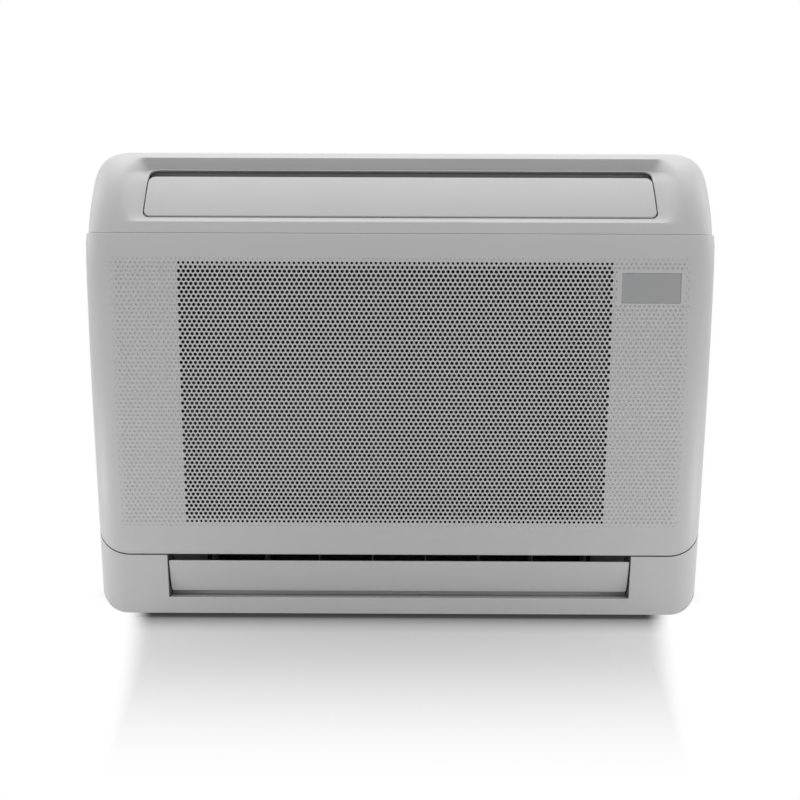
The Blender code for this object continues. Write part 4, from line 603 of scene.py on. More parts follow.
def plated_steel(name, base):
    """Zinc plated sheet: crystalline spangle, soft sheen, rolled grain."""
    finish = Finish(name, base, 0.4, 1.0)
    spangle = finish.node("ShaderNodeTexVoronoi", Scale=90.0)
    finish.link(finish.place, spangle.inputs["Vector"])
    grey = finish.node("ShaderNodeRGBToBW")
    finish.link(spangle.outputs["Color"], grey.inputs["Color"])
    finish.shade(grey.outputs["Val"], 0.86, 1.06)
    finish.rough(grey.outputs["Val"], 0.32, 0.5)
    finish.relief(finish.noise(0.0009, 3.0, (1.0, 1.0, 0.2)), 0.00003)
    return finish


def circuit_laminate(name, base):
    """Solder mask over copper tracks."""
    finish = Finish(name, base, 0.38, Coat_Weight=0.3)
    tracks = finish.node("ShaderNodeTexBrick", Scale=90.0)
    tracks.inputs["Mortar Size"].default_value = 0.03
    tracks.inputs["Color1"].default_value = (0, 0, 0, 1)
    tracks.inputs["Color2"].default_value = (0, 0, 0, 1)
    tracks.inputs["Mortar"].default_value = (1, 1, 1, 1)
    finish.link(finish.place, tracks.inputs["Vector"])
    finish.shade(tracks.outputs["Fac"], 1.0, 2.0)
    finish.rough(finish.noise(0.01), 0.32, 0.46)
    finish.relief(tracks.outputs["Fac"], 0.00003)
    return finish


def black_moulding(name, base):
    """Dark moulded plastic with uneven gloss."""
    finish = Finish(name, base, 0.5)
    finish.shade(finish.range(finish.noise(0.02, 4.0), 0.0, 1.0), 0.85, 1.3)
    finish.rough(finish.noise(0.008, 3.0), 0.42, 0.6)
    finish.relief(finish.noise(0.0005, 2.0), 0.00003)
    return finish


FINISH_MAKERS = {
    "casing_plastic": (moulded_plastic, "casing", {}),
    "frame_plastic": (moulded_plastic, "frame", {"roughness": 0.5, "variation": 0.03}),
    "chassis_plastic": (moulded_plastic, "chassis", {"roughness": 0.5, "variation": 0.03}),
    "window_plastic": (tinted_window, "window", {}),
    "duct_foam": (foam, "foam", {}),
    "fan_plastic": (black_moulding, "fan", {}),
    "vane_plastic": (moulded_plastic, "vane", {"roughness": 0.48, "variation": 0.04}),
    "filter_net": (screen_net, "net", {}),
    "fin_aluminium": (fin_pack, "fins", {}),
    "pipe_copper": (drawn_metal, "copper", {"roughness": 0.24}),
    "brass": (drawn_metal, "brass", {"roughness": 0.28, "stretch": (0.2, 1.0, 1.0)}),
    "zinc_steel": (plated_steel, "zinc", {}),
    "board_green": (circuit_laminate, "board", {}),
    "black_plastic": (black_moulding, "black", {}),
}


def finish_for(slot):
    """The finish of a material slot, made once."""
    name = slot + "_finish"
    if name in bpy.data.materials:
        return bpy.data.materials[name]
    maker, key, extra = FINISH_MAKERS[slot]
    base = getattr(bpy.context.scene.dressing.colours, key)
    return maker(name, tuple(base), **extra).material


def dress(obj, body, slot, *nodes):
    """Makes the piece ride on a body and hides the CAD nodes that it stands for. Its slot is not
    used.
    """
    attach(obj, body)
    if nodes:
        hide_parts(*nodes)


# Casing


# Heights of the flaps' lower and upper edges, and how far each is behind the plain front. The
# lower flap's lower edge is counted from its upper one instead.
UPPER_FLAP_LOW, UPPER_FLAP_LOW_SET = 0.5247, 0.0043
UPPER_FLAP_HIGH, UPPER_FLAP_HIGH_SET = 0.5786, 0.0122
LOWER_FLAP_LOW, LOWER_FLAP_LOW_SET = 0.0352, 0.0100
LOWER_FLAP_HIGH, LOWER_FLAP_HIGH_SET = 0.0793, 0.0008

# The upper opening in the flap's own face: its lower and upper edge and the radii of its corners.
UPPER_MOUTH = (-0.0018, 0.0830, 0.0092, 0.0105)
LOWER_MOUTH_RADIUS = 0.0012

# Rows between the corners of the recess's section, and how often they are smoothed.
RECESS_COUNTS = (5, 10, 6, 8)
RECESS_SMOOTHING = 10

# Columns of the casing's flat front, from the middle to where the recess fades.
FLAT_COLUMNS = (0.0, 0.08, 0.16, 0.24, 0.30, 0.315)
# Share that is left of the distance between rows below the foot, and the size that welds them.
PRESSED = 0.00002
WELD = 0.000004

# How far in front of and behind its face each opening is cut.
UPPER_CUT = (-0.004, 0.030)
LOWER_CUT = (-0.02, 0.05)
PANEL_CUT = -0.1

# Sections of the linings as (y, z) from the recess's lip, as (y, z) from the lower outlet's front
# edge, and as (x, y) from that outlet's side.
SKIRT = ((0.0001, 0.0006), (0.0011, 0.0006), (0.0025, -0.0100), (0.0015, -0.0102))
SILL = (
    (0.0012, -0.0002),
    (0.0190, -0.0014),
    (0.0204, 0.0026),
    (0.0212, 0.0026),
    (0.0212, -0.0026),
    (0.0012, -0.0024),
)
CHEEK = ((0.0, 0.0268), (-0.0425, 0.0400), (-0.0425, 0.0412), (0.0, 0.0280))
CHEEK_TOP = 0.0868


def recess_path(form, outlets):
    """The recess seen from the side, as rows of (y, z) from the ledge up to the rim."""
    o = outlets
    corners = [
        (form.front_y(o.ledge_low), o.ledge_low),
        (form.front_y(o.ledge_low) + o.ledge_depth, o.ledge_high),
        (form.front_y(UPPER_FLAP_HIGH) + UPPER_FLAP_HIGH_SET, UPPER_FLAP_HIGH),
        (form.front_y(o.rim) + o.lip_set, o.lip),
        (form.front_y(o.rim), o.rim),
    ]
    rows = []
    for first, second, count in zip(corners, corners[1:], RECESS_COUNTS):
        for i in range(count):
            share = i / count
            rows.append([a + (b - a) * share for a, b in zip(first, second)])
    rows.append(corners[-1])
    rows = np.array(rows)
    curve = rows[RECESS_COUNTS[0] : sum(RECESS_COUNTS[:3]) + 1]
    for _ in range(RECESS_SMOOTHING):
        curve[1:-1] = curve[1:-1] / 2 + (curve[:-2] + curve[2:]) / 4
    return rows


def casing_rows(form, outlets):
    """The casing's rows as (y, z), on the plain form and where the recess moves them."""
    s = form.s
    turns = np.linspace(0, math.pi / 2, 61)
    heights = s.crown_start + (form.top - s.crown_start) * np.sin(turns)
    crown_y = form.front + s.crown_depth * (1 - np.cos(turns))
    low = np.linspace(s.foot, s.crown_start, 30)[:-1]
    rows = [(form.front_y(z), z) for z in low]
    rows += [(y, z) for y, z in zip(crown_y, heights)]
    rows = np.array(rows)
    path = recess_path(form, outlets)
    skin_heights = np.linspace(outlets.ledge_low, outlets.rim, len(path))
    skin = np.array([(form.front_y(z), z) for z in skin_heights])
    below = rows[rows[:, 1] < outlets.ledge_low - 0.0006]
    above = rows[rows[:, 1] > outlets.rim + 0.0004]
    unmoved = np.concatenate([below, skin, above])
    moved = np.concatenate([below, path, above])
    return unmoved, moved


def recess_weight(outlets, x, turn, z):
    """How deep the recess is at each x and height, from 1 inside it to 0 where it has run out."""
    high = np.clip((z - outlets.lip + 0.024) / 0.030, 0, 1)
    high = high * high * (3 - 2 * high)
    start = outlets.fade_start + outlets.flare + 0.004 * high
    reach = (outlets.fade_end - outlets.fade_start) * (1 - 0.3 * high)
    share = np.clip((np.abs(x)[:, None] - start[None]) / reach[None], 0, 1)
    return (1 - share * share * (3 - 2 * share)) * (turn == 0)[:, None]


def casing_loft(form, outlets, inset, back):
    """The closed outer form as one mesh, with the outlet's recess pressed into it."""
    s = form.s
    turns = np.linspace(0, math.pi / 2, 19)
    fade = np.linspace(outlets.fade_start, form.start - 0.0004, 21)
    flat = ordered([*FLAT_COLUMNS, form.start, *fade])
    x = np.concatenate([flat, np.full(len(turns) - 1, form.start + 1e-6)])
    turn = np.concatenate([np.zeros(len(flat)), turns[1:]])
    x = np.concatenate([-x[::-1], x[1:]])
    turn = np.concatenate([turn[::-1], turn[1:]])
    unmoved, moved = casing_rows(form, outlets)
    weight = recess_weight(outlets, x, turn, unmoved[:, 1])
    _, ny, nz = form.section(unmoved[:, 1])
    ny[-1], nz[-1] = 0.0, -1.0
    shrink = form.drawn_in(turn, inset)[:, None]
    place = unmoved[None] + (moved - unmoved)[None] * weight[..., None]
    y = place[..., 0] + ny * shrink
    z = place[..., 1] + nz * shrink
    low_edge = s.lift + inset
    foot = low_edge + (s.rise - low_edge) * (1 - np.cos(turn))
    back_low = s.back_lift + inset
    back_foot = back_low + (s.back_rise - back_low) * (1 - np.cos(turn))
    floor = foot[:, None] + s.foot
    low = z < floor
    z = np.where(low, floor + PRESSED * (z - floor), z)
    across = np.broadcast_to(form.across(x, turn, inset)[:, None], y.shape)
    start = form.section(floor[:, 0])[0] + form.section(floor[:, 0])[1] * shrink[:, 0]
    angle = np.linspace(math.pi / 2, 0, 7)[:-1]
    foot_y = start[:, None] + s.foot * (1 - np.cos(angle))
    foot_z = floor - s.foot * np.sin(angle)
    high = z[:, -1]
    ring_y = np.concatenate([foot_y, y, np.full((len(x), 2), back)], 1)
    ring_z = np.concatenate([foot_z, z, high[:, None] + s.crown_drop, back_foot[:, None]], 1)
    ring_x = form.tucked(np.repeat(across[:, :1], ring_y.shape[1], 1), ring_z)
    net = Net()
    numbers = net.add(np.stack([ring_x, ring_y, ring_z], -1))
    loop = np.concatenate([numbers, numbers[:, :1]], 1)
    net.rows(loop)
    return closed(net, "casing_form", (numbers[0], numbers[-1]), WELD)


def prism(name, outline, low, high, axes):
    """A closed prism: an outline of (u, v) carried from low to high, along the last axis given."""
    start, u_axis, v_axis, along = (np.array(a, float) for a in axes)
    outline = np.array(outline, float)
    flat = start + outline[:, :1] * u_axis + outline[:, 1:] * v_axis
    net = Net()
    first = net.add(flat + along * low)
    second = net.add(flat + along * high)
    net.belt(first, second)
    return closed(net, name, (first, second))


def rounded_outline(left, right, low, high, radius_low, radius_high, steps=8):
    """A rectangle with rounded corners, anticlockwise from the lower left."""
    points = []
    corners = (
        (right - radius_low, low + radius_low, radius_low, -90),
        (right - radius_high, high - radius_high, radius_high, 0),
        (left + radius_high, high - radius_high, radius_high, 90),
        (left + radius_low, low + radius_low, radius_low, 180),
    )
    for x, z, radius, start in corners:
        for i in range(steps + 1):
            angle = math.radians(start + 90 * i / steps)
            points.append((x + radius * math.cos(angle), z + radius * math.sin(angle)))
    return points


def carve(target, tool):
    """Cuts the tool out of the target and removes the tool."""
    modifier = target.modifiers.new("carve", "BOOLEAN")
    modifier.operation = "DIFFERENCE"
    modifier.solver = "MANIFOLD"
    modifier.object = tool
    graph = bpy.context.evaluated_depsgraph_get()
    made = bpy.data.meshes.new_from_object(target.evaluated_get(graph))
    target.modifiers.clear()
    if not made.polygons:
        raise RuntimeError(f"carving {target.name} with {tool.name} left nothing")
    target.data = made
    bpy.data.objects.remove(tool)


def flap_frame(form, bottom, top):
    """Start, across, run and inward vectors of a flap's face, from its bottom and top as (y, z)."""
    run = np.array([0.0, top[0] - bottom[0], top[1] - bottom[1]])
    size = float(np.linalg.norm(run))
    run /= size
    inwards = np.array([0.0, run[2], -run[1]])
    return np.array([0.0, bottom[0], bottom[1]]), np.array([1.0, 0, 0]), run, inwards, size


def upper_flap_ends(form):
    bottom = (form.front_y(UPPER_FLAP_LOW) + UPPER_FLAP_LOW_SET, UPPER_FLAP_LOW)
    return bottom, (form.front_y(UPPER_FLAP_HIGH) + UPPER_FLAP_HIGH_SET, UPPER_FLAP_HIGH)


def lower_flap_ends(form):
    top = (form.front_y(LOWER_FLAP_HIGH) + LOWER_FLAP_HIGH_SET, LOWER_FLAP_HIGH)
    return (top[0] + LOWER_FLAP_LOW_SET, LOWER_FLAP_LOW), top


def panel_edge_z(form, panel, x):
    """Height of the panel's lower edge at x, with its rounded corners."""
    start = form.half - panel.corner_width
    share = np.clip((np.abs(x) - start) / panel.corner_width, 0, panel.corner_share)
    return panel.bottom + panel.corner_height * (1 - np.sqrt(1 - share**2))


class CONDITIONER_OT_casing(bpy.types.Operator):
    """Makes the moulded casing: crown, recess, sides and bottom strip"""

    bl_idname = "conditioner.casing"
    bl_label = "Casing"

    def execute(self, context):
        settings = context.scene.dressing
        form, o, p = Form(settings.form), settings.outlets, settings.panel
        body = casing_loft(form, o, 0.0, settings.form.back)
        carve(body, casing_loft(form, o, settings.form.wall, settings.form.back + 0.02))
        start, across, run, inwards, size = flap_frame(form, *upper_flap_ends(form))
        half = o.upper_width / 2
        outline = rounded_outline(-half, half, *UPPER_MOUTH)
        outline = [(a + np.sign(a) * o.flare * u / size, u) for a, u in outline]
        carve(body, prism("upper_mouth", outline, *UPPER_CUT, (start, across, run, inwards)))
        half, radius = o.lower_width / 2, LOWER_MOUTH_RADIUS
        outline = rounded_outline(-half, half, o.lower_bottom, p.bottom + 0.01, radius, radius, 3)
        lift = ((0, form.front, 0), (1, 0, 0), (0, 0, 1), (0, 1, 0))
        carve(body, prism("lower_mouth", outline, *LOWER_CUT, lift))
        side = form.half + 0.02
        turns = np.linspace(0, math.asin(p.corner_share), 25)
        x = form.half - p.corner_width + p.corner_width * np.sin(turns)
        z = p.bottom - p.swing + p.corner_height * (1 - np.cos(turns))
        right = [*zip(x, z), (side, z[-1]), (side, p.top)]
        outline = right + [(-a, b) for a, b in reversed(right)]
        carve(body, prism("panel_opening", outline, PANEL_CUT, p.rim, lift))
        body.name = "casing_shell"
        body.data.materials.clear()
        body.data.materials.append(finish_for("casing_plastic"))
        soften(body, 28)
        round_edges(body, 0.0005, 50)
        dress(body, "casing", "casing_plastic", "front_casing")
        return {"FINISHED"}


def liner(name, outline, low, high, axes, slot):
    """A thin lining of an outlet, made as a prism with rounded edges."""
    obj = prism(name, outline, low, high, axes)
    obj.data.materials.append(finish_for(slot))
    round_edges(obj, 0.0003)
    dress(obj, "casing", slot)


class CONDITIONER_OT_linings(bpy.types.Operator):
    """Makes the upper outlet's skirt, the lower outlet's sill and cheeks, and the plinth"""

    bl_idname = "conditioner.linings"
    bl_label = "Outlet linings"

    def execute(self, context):
        settings = context.scene.dressing
        form, o = Form(settings.form), settings.outlets
        sideways = ((0, 0, 0), (0, 1, 0), (0, 0, 1), (1, 0, 0))
        upright = ((0, 0, 0), (1, 0, 0), (0, 1, 0), (0, 0, 1))
        lip = form.front_y(o.rim) + o.lip_set
        skirt = [(lip + y, o.lip + z) for y, z in SKIRT]
        half = o.upper_width / 2 + o.flare + 0.0012
        # The skirt takes the darker vane finish, not the casing's: painted shade in the gap above
        # the upper flap.
        liner("outlet_skirt", skirt, -half, half, sideways, "vane_plastic")
        edge = form.front_y(o.lower_bottom)
        sill = [(edge + y, o.lower_bottom + z) for y, z in SILL]
        half = o.lower_width / 2 - 0.0004
        liner("outlet_sill", sill, -half, half, sideways, "casing_plastic")
        # The cheeks take the darker vane finish: painted shade at the ends of the lower outlet.
        for side, name in ((-1, "outlet_cheek_left"), (1, "outlet_cheek_right")):
            cheek = [(side * (half + x), edge + y) for x, y in CHEEK]
            liner(name, cheek, o.lower_bottom - 0.001, CHEEK_TOP, upright, "vane_plastic")
        plinth = settings.form
        front, back = form.front_y(0.0) + plinth.plinth_set, plinth.back - plinth.plinth_set
        reach = form.start - plinth.plinth_end
        base = [(-reach, front), (reach, front), (reach, back), (-reach, back)]
        # The plinth takes the darker vane finish: painted shade under the front's foot.
        liner("plinth", base, 0.0, plinth.lift + plinth.wall / 2, upright, "vane_plastic")
        return {"FINISHED"}


# Front panel


# The lower left and upper right corner of the opening round the display window.
WINDOW_LOW = (0.2770, 0.41755)
WINDOW_HIGH = (0.35095, 0.45445)


class PanelGrid:
    """Columns and rows of the panel's skin. The perforated lattice is its middle block."""

    LATTICE_HALF = 121
    LATTICE_LOW = -35
    LATTICE_HIGH = 32
    # Shares of the wrapped side wall's depth that have a column of their own.
    WALL_SHARES = (0.35, 0.7, 0.95)

    def __init__(self, form, panel):
        self.form = form
        self.p = panel
        self.step = panel.pitch / 2
        self.row_step = panel.pitch * math.sqrt(3) / 2
        heights, run = form.arc_table()
        self.heights = heights
        self.run = run - np.interp(panel.middle, heights, run)

    def height(self, row):
        """Height of a row, counted along the surface from the lattice's middle."""
        return np.interp(np.asarray(row) * self.row_step, self.run, self.heights)

    def columns(self):
        """X, turn, share of the side wall and edge inset of each column, and the wall's end."""
        form, p = self.form, self.p
        last = self.LATTICE_HALF * self.step
        flat = np.arange(self.LATTICE_HALF + 1) * self.step
        turns = np.linspace(form.turn_at(last), math.pi / 2, 16)[1:]
        arcs = np.linspace(0, math.pi / 2, 5)
        x = [flat, np.full(len(turns), form.start + 1e-6)]
        turn = [form.turn_at(flat), turns]
        wall = [np.full(len(flat) + len(turns), -1.0)]
        inset = [np.zeros(len(flat) + len(turns))]
        count = len(self.WALL_SHARES) + len(arcs) + 1
        x.append(np.full(count, form.start + 1e-6))
        turn.append(np.full(count, math.pi / 2))
        back = form.front + p.rim - p.seam
        wall += [self.WALL_SHARES, 1 + np.sin(arcs), [2.0]]
        inset += [np.zeros(len(self.WALL_SHARES)), p.edge * (1 - np.cos(arcs)), [form.s.wall]]
        x, turn, wall, inset = (np.concatenate(v) for v in (x, turn, wall, inset))
        x = np.concatenate([-x[::-1], x[1:]])
        turn, wall, inset = (np.concatenate([v[::-1], v[1:]]) for v in (turn, wall, inset))
        return x, turn, wall, inset, back

    def rows(self):
        """Band (0 bottom, 1 lattice, 2 top), place in that band and edge inset of each row."""
        p = self.p
        arcs = np.linspace(math.pi / 2, 0, 5)
        kind, value, inset = [], [], []

        def put(a, b, c):
            kind.append(a)
            value.append(b)
            inset.append(c)

        put(0, -1.0, self.form.s.wall)
        for a in arcs:
            put(0, -np.sin(a), p.edge * (1 - np.cos(a)))
        for share in np.linspace(0, 1, 8)[1:-1]:
            put(0, share, 0.0)
        for j in range(self.LATTICE_LOW, self.LATTICE_HIGH + 1):
            put(1, j - 0.5, 0.0)
        for share in np.linspace(0, 1, 7)[1:-1]:
            put(2, share, 0.0)
        for a in reversed(arcs):
            put(2, 1 + np.sin(a), p.edge * (1 - np.cos(a)))
        put(2, 2.0, self.form.s.wall)
        return np.array(kind), np.array(value), np.array(inset)

    def points(self, extra):
        """The grid's points in rows and columns. Extra moves the skin inwards, for its back."""
        form, p = self.form, self.p
        x, turn, wall, inset_x, back = self.columns()
        kind, value, inset_z = self.rows()
        edge = p.edge
        inset = np.maximum(np.maximum(inset_z[:, None], inset_x[None, :]), extra)
        final_x = form.across(x, turn, 0.0)
        low = panel_edge_z(form, p, final_x)[None, :]
        high = p.top - p.seam
        first = self.height(self.LATTICE_LOW - 0.5)
        last = self.height(self.LATTICE_HIGH - 0.5)
        v = value[:, None]
        share = np.clip(v, 0, 1)
        bottom = np.where(v >= 0, low + edge + (first - low - edge) * share, low + edge * (1 + v))
        top = np.where(v <= 1, last + (high - edge - last) * share, high - edge + edge * (v - 1))
        middle = np.broadcast_to(self.height(np.where(kind == 1, value, 0))[:, None], inset.shape)
        z = np.where(kind[:, None] == 0, bottom, np.where(kind[:, None] == 2, top, middle))
        z = np.broadcast_to(z, inset.shape)
        grid = form.at_height(x[None, :], turn[None, :], z, inset)
        side = form.at_height(x[None, :], turn[None, :], z, 0.0)[..., 1]
        share = np.broadcast_to(wall[None, :], inset.shape)
        end = back - edge
        reach = side + (end - side) * np.clip(share, 0, 1)
        y = np.where(share <= 1, reach, end + edge * (share - 1))
        grid[..., 1] = np.where(share >= 0, y, grid[..., 1])
        return grid

    def lattice_slices(self):
        """Where the lattice block starts in the grid's rows and columns."""
        kind, _, _ = self.rows()
        row = int(np.argmax(kind == 1))
        x, _, _, _, _ = self.columns()
        column = (len(x) - 1) // 2 - self.LATTICE_HALF
        return row, column


def cell_numbers(numbers, row0, column0, r, c):
    """Boundary points of the cells in row r at half pitch c, anticlockwise from the lower left."""
    low = row0 + (r - PanelGrid.LATTICE_LOW)
    middle = column0 + (c + PanelGrid.LATTICE_HALF)
    pairs = ((0, -1), (0, 0), (0, 1), (1, 1), (1, 0), (1, -1))
    return np.stack([numbers[low + a, middle + b] for a, b in pairs], 1)


def ring_angles():
    """Angles of a hole's twelve points. Each pair of its segments faces one boundary edge."""
    return np.radians(-120 + 30 * np.arange(12))


class PanelMaker:
    """Makes the panel's perforated halves, and the sheet round them with its window opening."""

    # The cells that the window takes up: half pitches from and to, then rows from and to.
    WINDOW = (91, 118, 21, 29)
    # Widths of the holes in the outermost rows and in the next ones, as shares of the others'.
    EDGE_HOLES = (0.80, 0.92)
    # From this half pitch on, and in the first and last row, dimples are shallower and narrower.
    FAINT_FROM = 119
    FAINT_DEPTH = 0.5
    FAINT_WIDTH = 0.9
    # Where a dimple's wall meets its floor, as shares of its radius and depth.
    DIMPLE_SLOPE = (0.80, 0.90)
    OPENING_EDGE = 0.0005

    def __init__(self, settings):
        self.form = Form(settings.form)
        self.p = settings.panel
        self.grid = PanelGrid(self.form, self.p)
        self.front = self.grid.points(0.0)
        self.back = self.grid.points(settings.form.wall)
        self.screen_back = self.grid.points(self.p.screen)
        self.row0, self.column0 = self.grid.lattice_slices()

    def cells(self):
        """Row and half pitch of every cell of the lattice block, and which are holes or dimples."""
        g, p = self.grid, self.p
        rows = np.arange(g.LATTICE_LOW, g.LATTICE_HIGH)
        places = np.arange(1 - g.LATTICE_HALF, g.LATTICE_HALF)
        r, c = np.meshgrid(rows, places, indexing="ij")
        r, c = r.ravel(), c.ravel()
        keep = (r + c) % 2 == 0
        r, c = r[keep], c[keep]
        left, right, low, high = self.WINDOW
        keep = ~((c + 1 > left) & (c - 1 < right) & (r >= low) & (r < high))
        r, c = r[keep], c[keep]
        hole = (c >= p.hole_left) & (c <= p.hole_right) & (r >= p.hole_low) & (r <= p.hole_high)
        return r, c, hole

    def centres(self, r, c, radius, depth):
        """Points of a ring of that radius round each cell's centre, on the skin at that depth."""
        form, grid = self.form, self.grid
        angles = ring_angles()
        radius = np.broadcast_to(np.asarray(radius, float), r.shape)[:, None]
        depth = np.broadcast_to(np.asarray(depth, float), r.shape)[:, None]
        x = c[:, None] * grid.step + radius * np.cos(angles)
        z = grid.height(r)[:, None] + radius * np.sin(angles)
        turn = form.turn_at(x)
        turn = np.where(turn > 1e-9, turn, 0.0)
        front = form.at_height(x, turn, z, 0.0)
        _, ny, nz = form.section(z)
        return front + np.stack([np.zeros_like(z), ny * depth, nz * depth], -1)

    def ring_sectors(self, net, boundary, ring, flip=False):
        """Six five-sided faces between each cell's boundary and its ring of twelve points."""
        for k in range(6):
            a, b = boundary[:, k], boundary[:, (k + 1) % 6]
            first = ring[:, (2 * k) % 12]
            second = ring[:, (2 * k + 1) % 12]
            third = ring[:, (2 * k + 2) % 12]
            if flip:
                net.face(first, second, third, b, a)
            else:
                net.face(a, b, third, second, first)

    def grille(self, side):
        """The perforated cells on one side of the middle."""
        r, c, hole = self.cells()
        keep = hole & ((c < 0) if side < 0 else (c >= 0))
        r, c = r[keep], c[keep]
        p = self.p
        net = Net()
        front, back = net.add(self.front), net.add(self.screen_back)
        edge = np.minimum(r - p.hole_low, p.hole_high - r)
        outermost, next_rows = self.EDGE_HOLES
        size = np.where(edge == 0, outermost, np.where(edge == 1, next_rows, 1.0)) * p.hole / 2
        outer = net.add(self.centres(r, c, size, 0.0))
        inner = net.add(self.centres(r, c, size * p.draft, p.screen))
        self.ring_sectors(net, cell_numbers(front, self.row0, self.column0, r, c), outer)
        behind = cell_numbers(back, self.row0, self.column0, r, c)
        self.ring_sectors(net, behind, inner, flip=True)
        net.tubes(outer, inner)
        return net

    def sheet(self):
        """The unperforated skin: dimples, plain bands, wrapped sides, rounded edges and back."""
        r, c, hole = self.cells()
        net = Net()
        front, back = net.add(self.front), net.add(self.back)
        p, g = self.p, self.grid
        shape = (front.shape[0] - 1, front.shape[1] - 1)
        keep = np.ones(shape, bool)
        keep_back = np.ones(shape, bool)
        rows = self.row0 + (r - g.LATTICE_LOW)
        left = self.column0 + c - 1 + g.LATTICE_HALF
        keep[rows, left] = keep[rows, left + 1] = False
        keep_back[rows[hole], left[hole]] = keep_back[rows[hole], left[hole] + 1] = False
        a, b, low, high = self.WINDOW
        region = (
            slice(self.row0 + low - g.LATTICE_LOW, self.row0 + high - g.LATTICE_LOW),
            slice(self.column0 + a + g.LATTICE_HALF, self.column0 + b + g.LATTICE_HALF),
        )
        keep[region] = False
        keep_back[region] = False
        net.rows(front, keep)
        inner = slice(1, -1)
        net.rows(back[inner, inner], keep_back[inner, inner], flip=True)
        field = np.zeros(shape, bool)
        field[rows[hole], left[hole]] = field[rows[hole], left[hole] + 1] = True
        self.field_border(net, field, back, net.add(self.screen_back))
        r, c = r[~hole], c[~hole]
        faint = (r == g.LATTICE_LOW) | (r == g.LATTICE_HIGH - 1)
        faint |= np.abs(c) >= self.FAINT_FROM
        depth = np.where(faint, self.FAINT_DEPTH, 1.0) * p.dimple_depth
        radius = np.where(faint, self.FAINT_WIDTH, 1.0) * p.dimple / 2
        outer = net.add(self.centres(r, c, radius, 0.0))
        narrowed, deepened = self.DIMPLE_SLOPE
        middle = net.add(self.centres(r, c, radius * narrowed, depth * deepened))
        centre = net.add(self.centres(r, c, radius * 0.0, depth)[:, 0])
        self.ring_sectors(net, cell_numbers(front, self.row0, self.column0, r, c), outer)
        for k in range(12):
            after = (k + 1) % 12
            net.face(outer[:, k], outer[:, after], middle[:, after], middle[:, k])
            net.face(middle[:, k], middle[:, after], centre)
        self.window_frame(net, front, back)
        return net

    def field_border(self, net, field, back, screen):
        """The steps behind the skin where the thinner perforated field starts."""
        across = field[:, 1:].astype(int) - field[:, :-1]
        up = field[1:, :].astype(int) - field[:-1, :]
        for steps, move in ((across, (1, 0)), (up, (0, 1))):
            for sign in (1, -1):
                row, column = np.nonzero(steps == sign)
                row, column = row + move[1], column + move[0]
                ends = (row + move[0], column + move[1])
                a, b = back[row, column], back[ends]
                c, d = screen[ends], screen[row, column]
                if (sign > 0) == (move[0] > 0):
                    net.face(a, b, c, d)
                else:
                    net.face(d, c, b, a)

    def window_frame(self, net, front, back):
        """The skin round the window, its rounded opening edge and the wall behind that."""
        g, form = self.grid, self.form
        a, b, low, high = self.WINDOW
        rows = (self.row0 + low - g.LATTICE_LOW, self.row0 + high - g.LATTICE_LOW)
        columns = (self.column0 + a + g.LATTICE_HALF, self.column0 + b + g.LATTICE_HALF)

        def ring_of(numbers):
            across = np.arange(columns[0], columns[1])
            up = np.arange(rows[0], rows[1])
            return np.concatenate(
                [
                    numbers[rows[0], across],
                    numbers[up, columns[1]],
                    numbers[rows[1], across + 1][::-1],
                    numbers[up + 1, columns[0]][::-1],
                ]
            )

        outer, outer_back = ring_of(front), ring_of(back)
        points = np.concatenate(net.points)[outer]
        x0, x1 = a * g.step, b * g.step
        z0, z1 = points[:, 2].min(), points[:, 2].max()
        share_x = (points[:, 0] - x0) / (x1 - x0)
        share_z = (points[:, 2] - z0) / (z1 - z0)

        def opening(grow, depth):
            x = WINDOW_LOW[0] - grow + (WINDOW_HIGH[0] - WINDOW_LOW[0] + 2 * grow) * share_x
            z = WINDOW_LOW[1] - grow + (WINDOW_HIGH[1] - WINDOW_LOW[1] + 2 * grow) * share_z
            return net.add(form.at_height(x, 0.0, z, depth))

        edge = self.OPENING_EDGE
        previous = outer
        for turn in np.linspace(0, math.pi / 2, 4):
            ring = opening(edge * (1 - math.sin(turn)), edge * (1 - math.cos(turn)))
            net.belt(previous, ring)
            previous = ring
        ring = opening(0.0, form.s.wall)
        net.belt(previous, ring)
        net.belt(ring, outer_back)


class CONDITIONER_OT_panel(bpy.types.Operator):
    """Makes the front panel with its perforations, dimples and window opening"""

    bl_idname = "conditioner.panel"
    bl_label = "Front panel"

    def execute(self, context):
        maker = PanelMaker(context.scene.dressing)
        finish = finish_for("casing_plastic")
        sheet = maker.sheet().piece("panel_sheet", finish)
        dress(sheet, "panel", "casing_plastic", "front_panel")
        for side, name in ((-1, "grille_left"), (1, "grille_right")):
            grille = maker.grille(side).piece(name, finish)
            clear_loose(grille)
            dress(grille, "panel", "casing_plastic")
        clear_loose(sheet)
        return {"FINISHED"}


def clear_loose(obj):
    """Removes points that belong to no face."""
    shape = bmesh.new()
    shape.from_mesh(obj.data)
    loose = [v for v in shape.verts if not v.link_faces]
    bmesh.ops.delete(shape, geom=loose, context="VERTS")
    shape.to_mesh(obj.data)
    shape.free()


# Flaps


RIB_DRAFT = 0.0003
EAR_RADIUS = 0.0045
EAR_THICKNESS = 0.0035
# Where an ear grows out of the blade: how deep, and from where to where along its run.
EAR_DEPTH = 0.0035
EAR_FEET = (0.003, 0.020)
# How far past the blade's end the pin's two outer rings are, and their radii.
PIN_RINGS = ((0.0044, 0.0025), (0.0048, 0.0021))


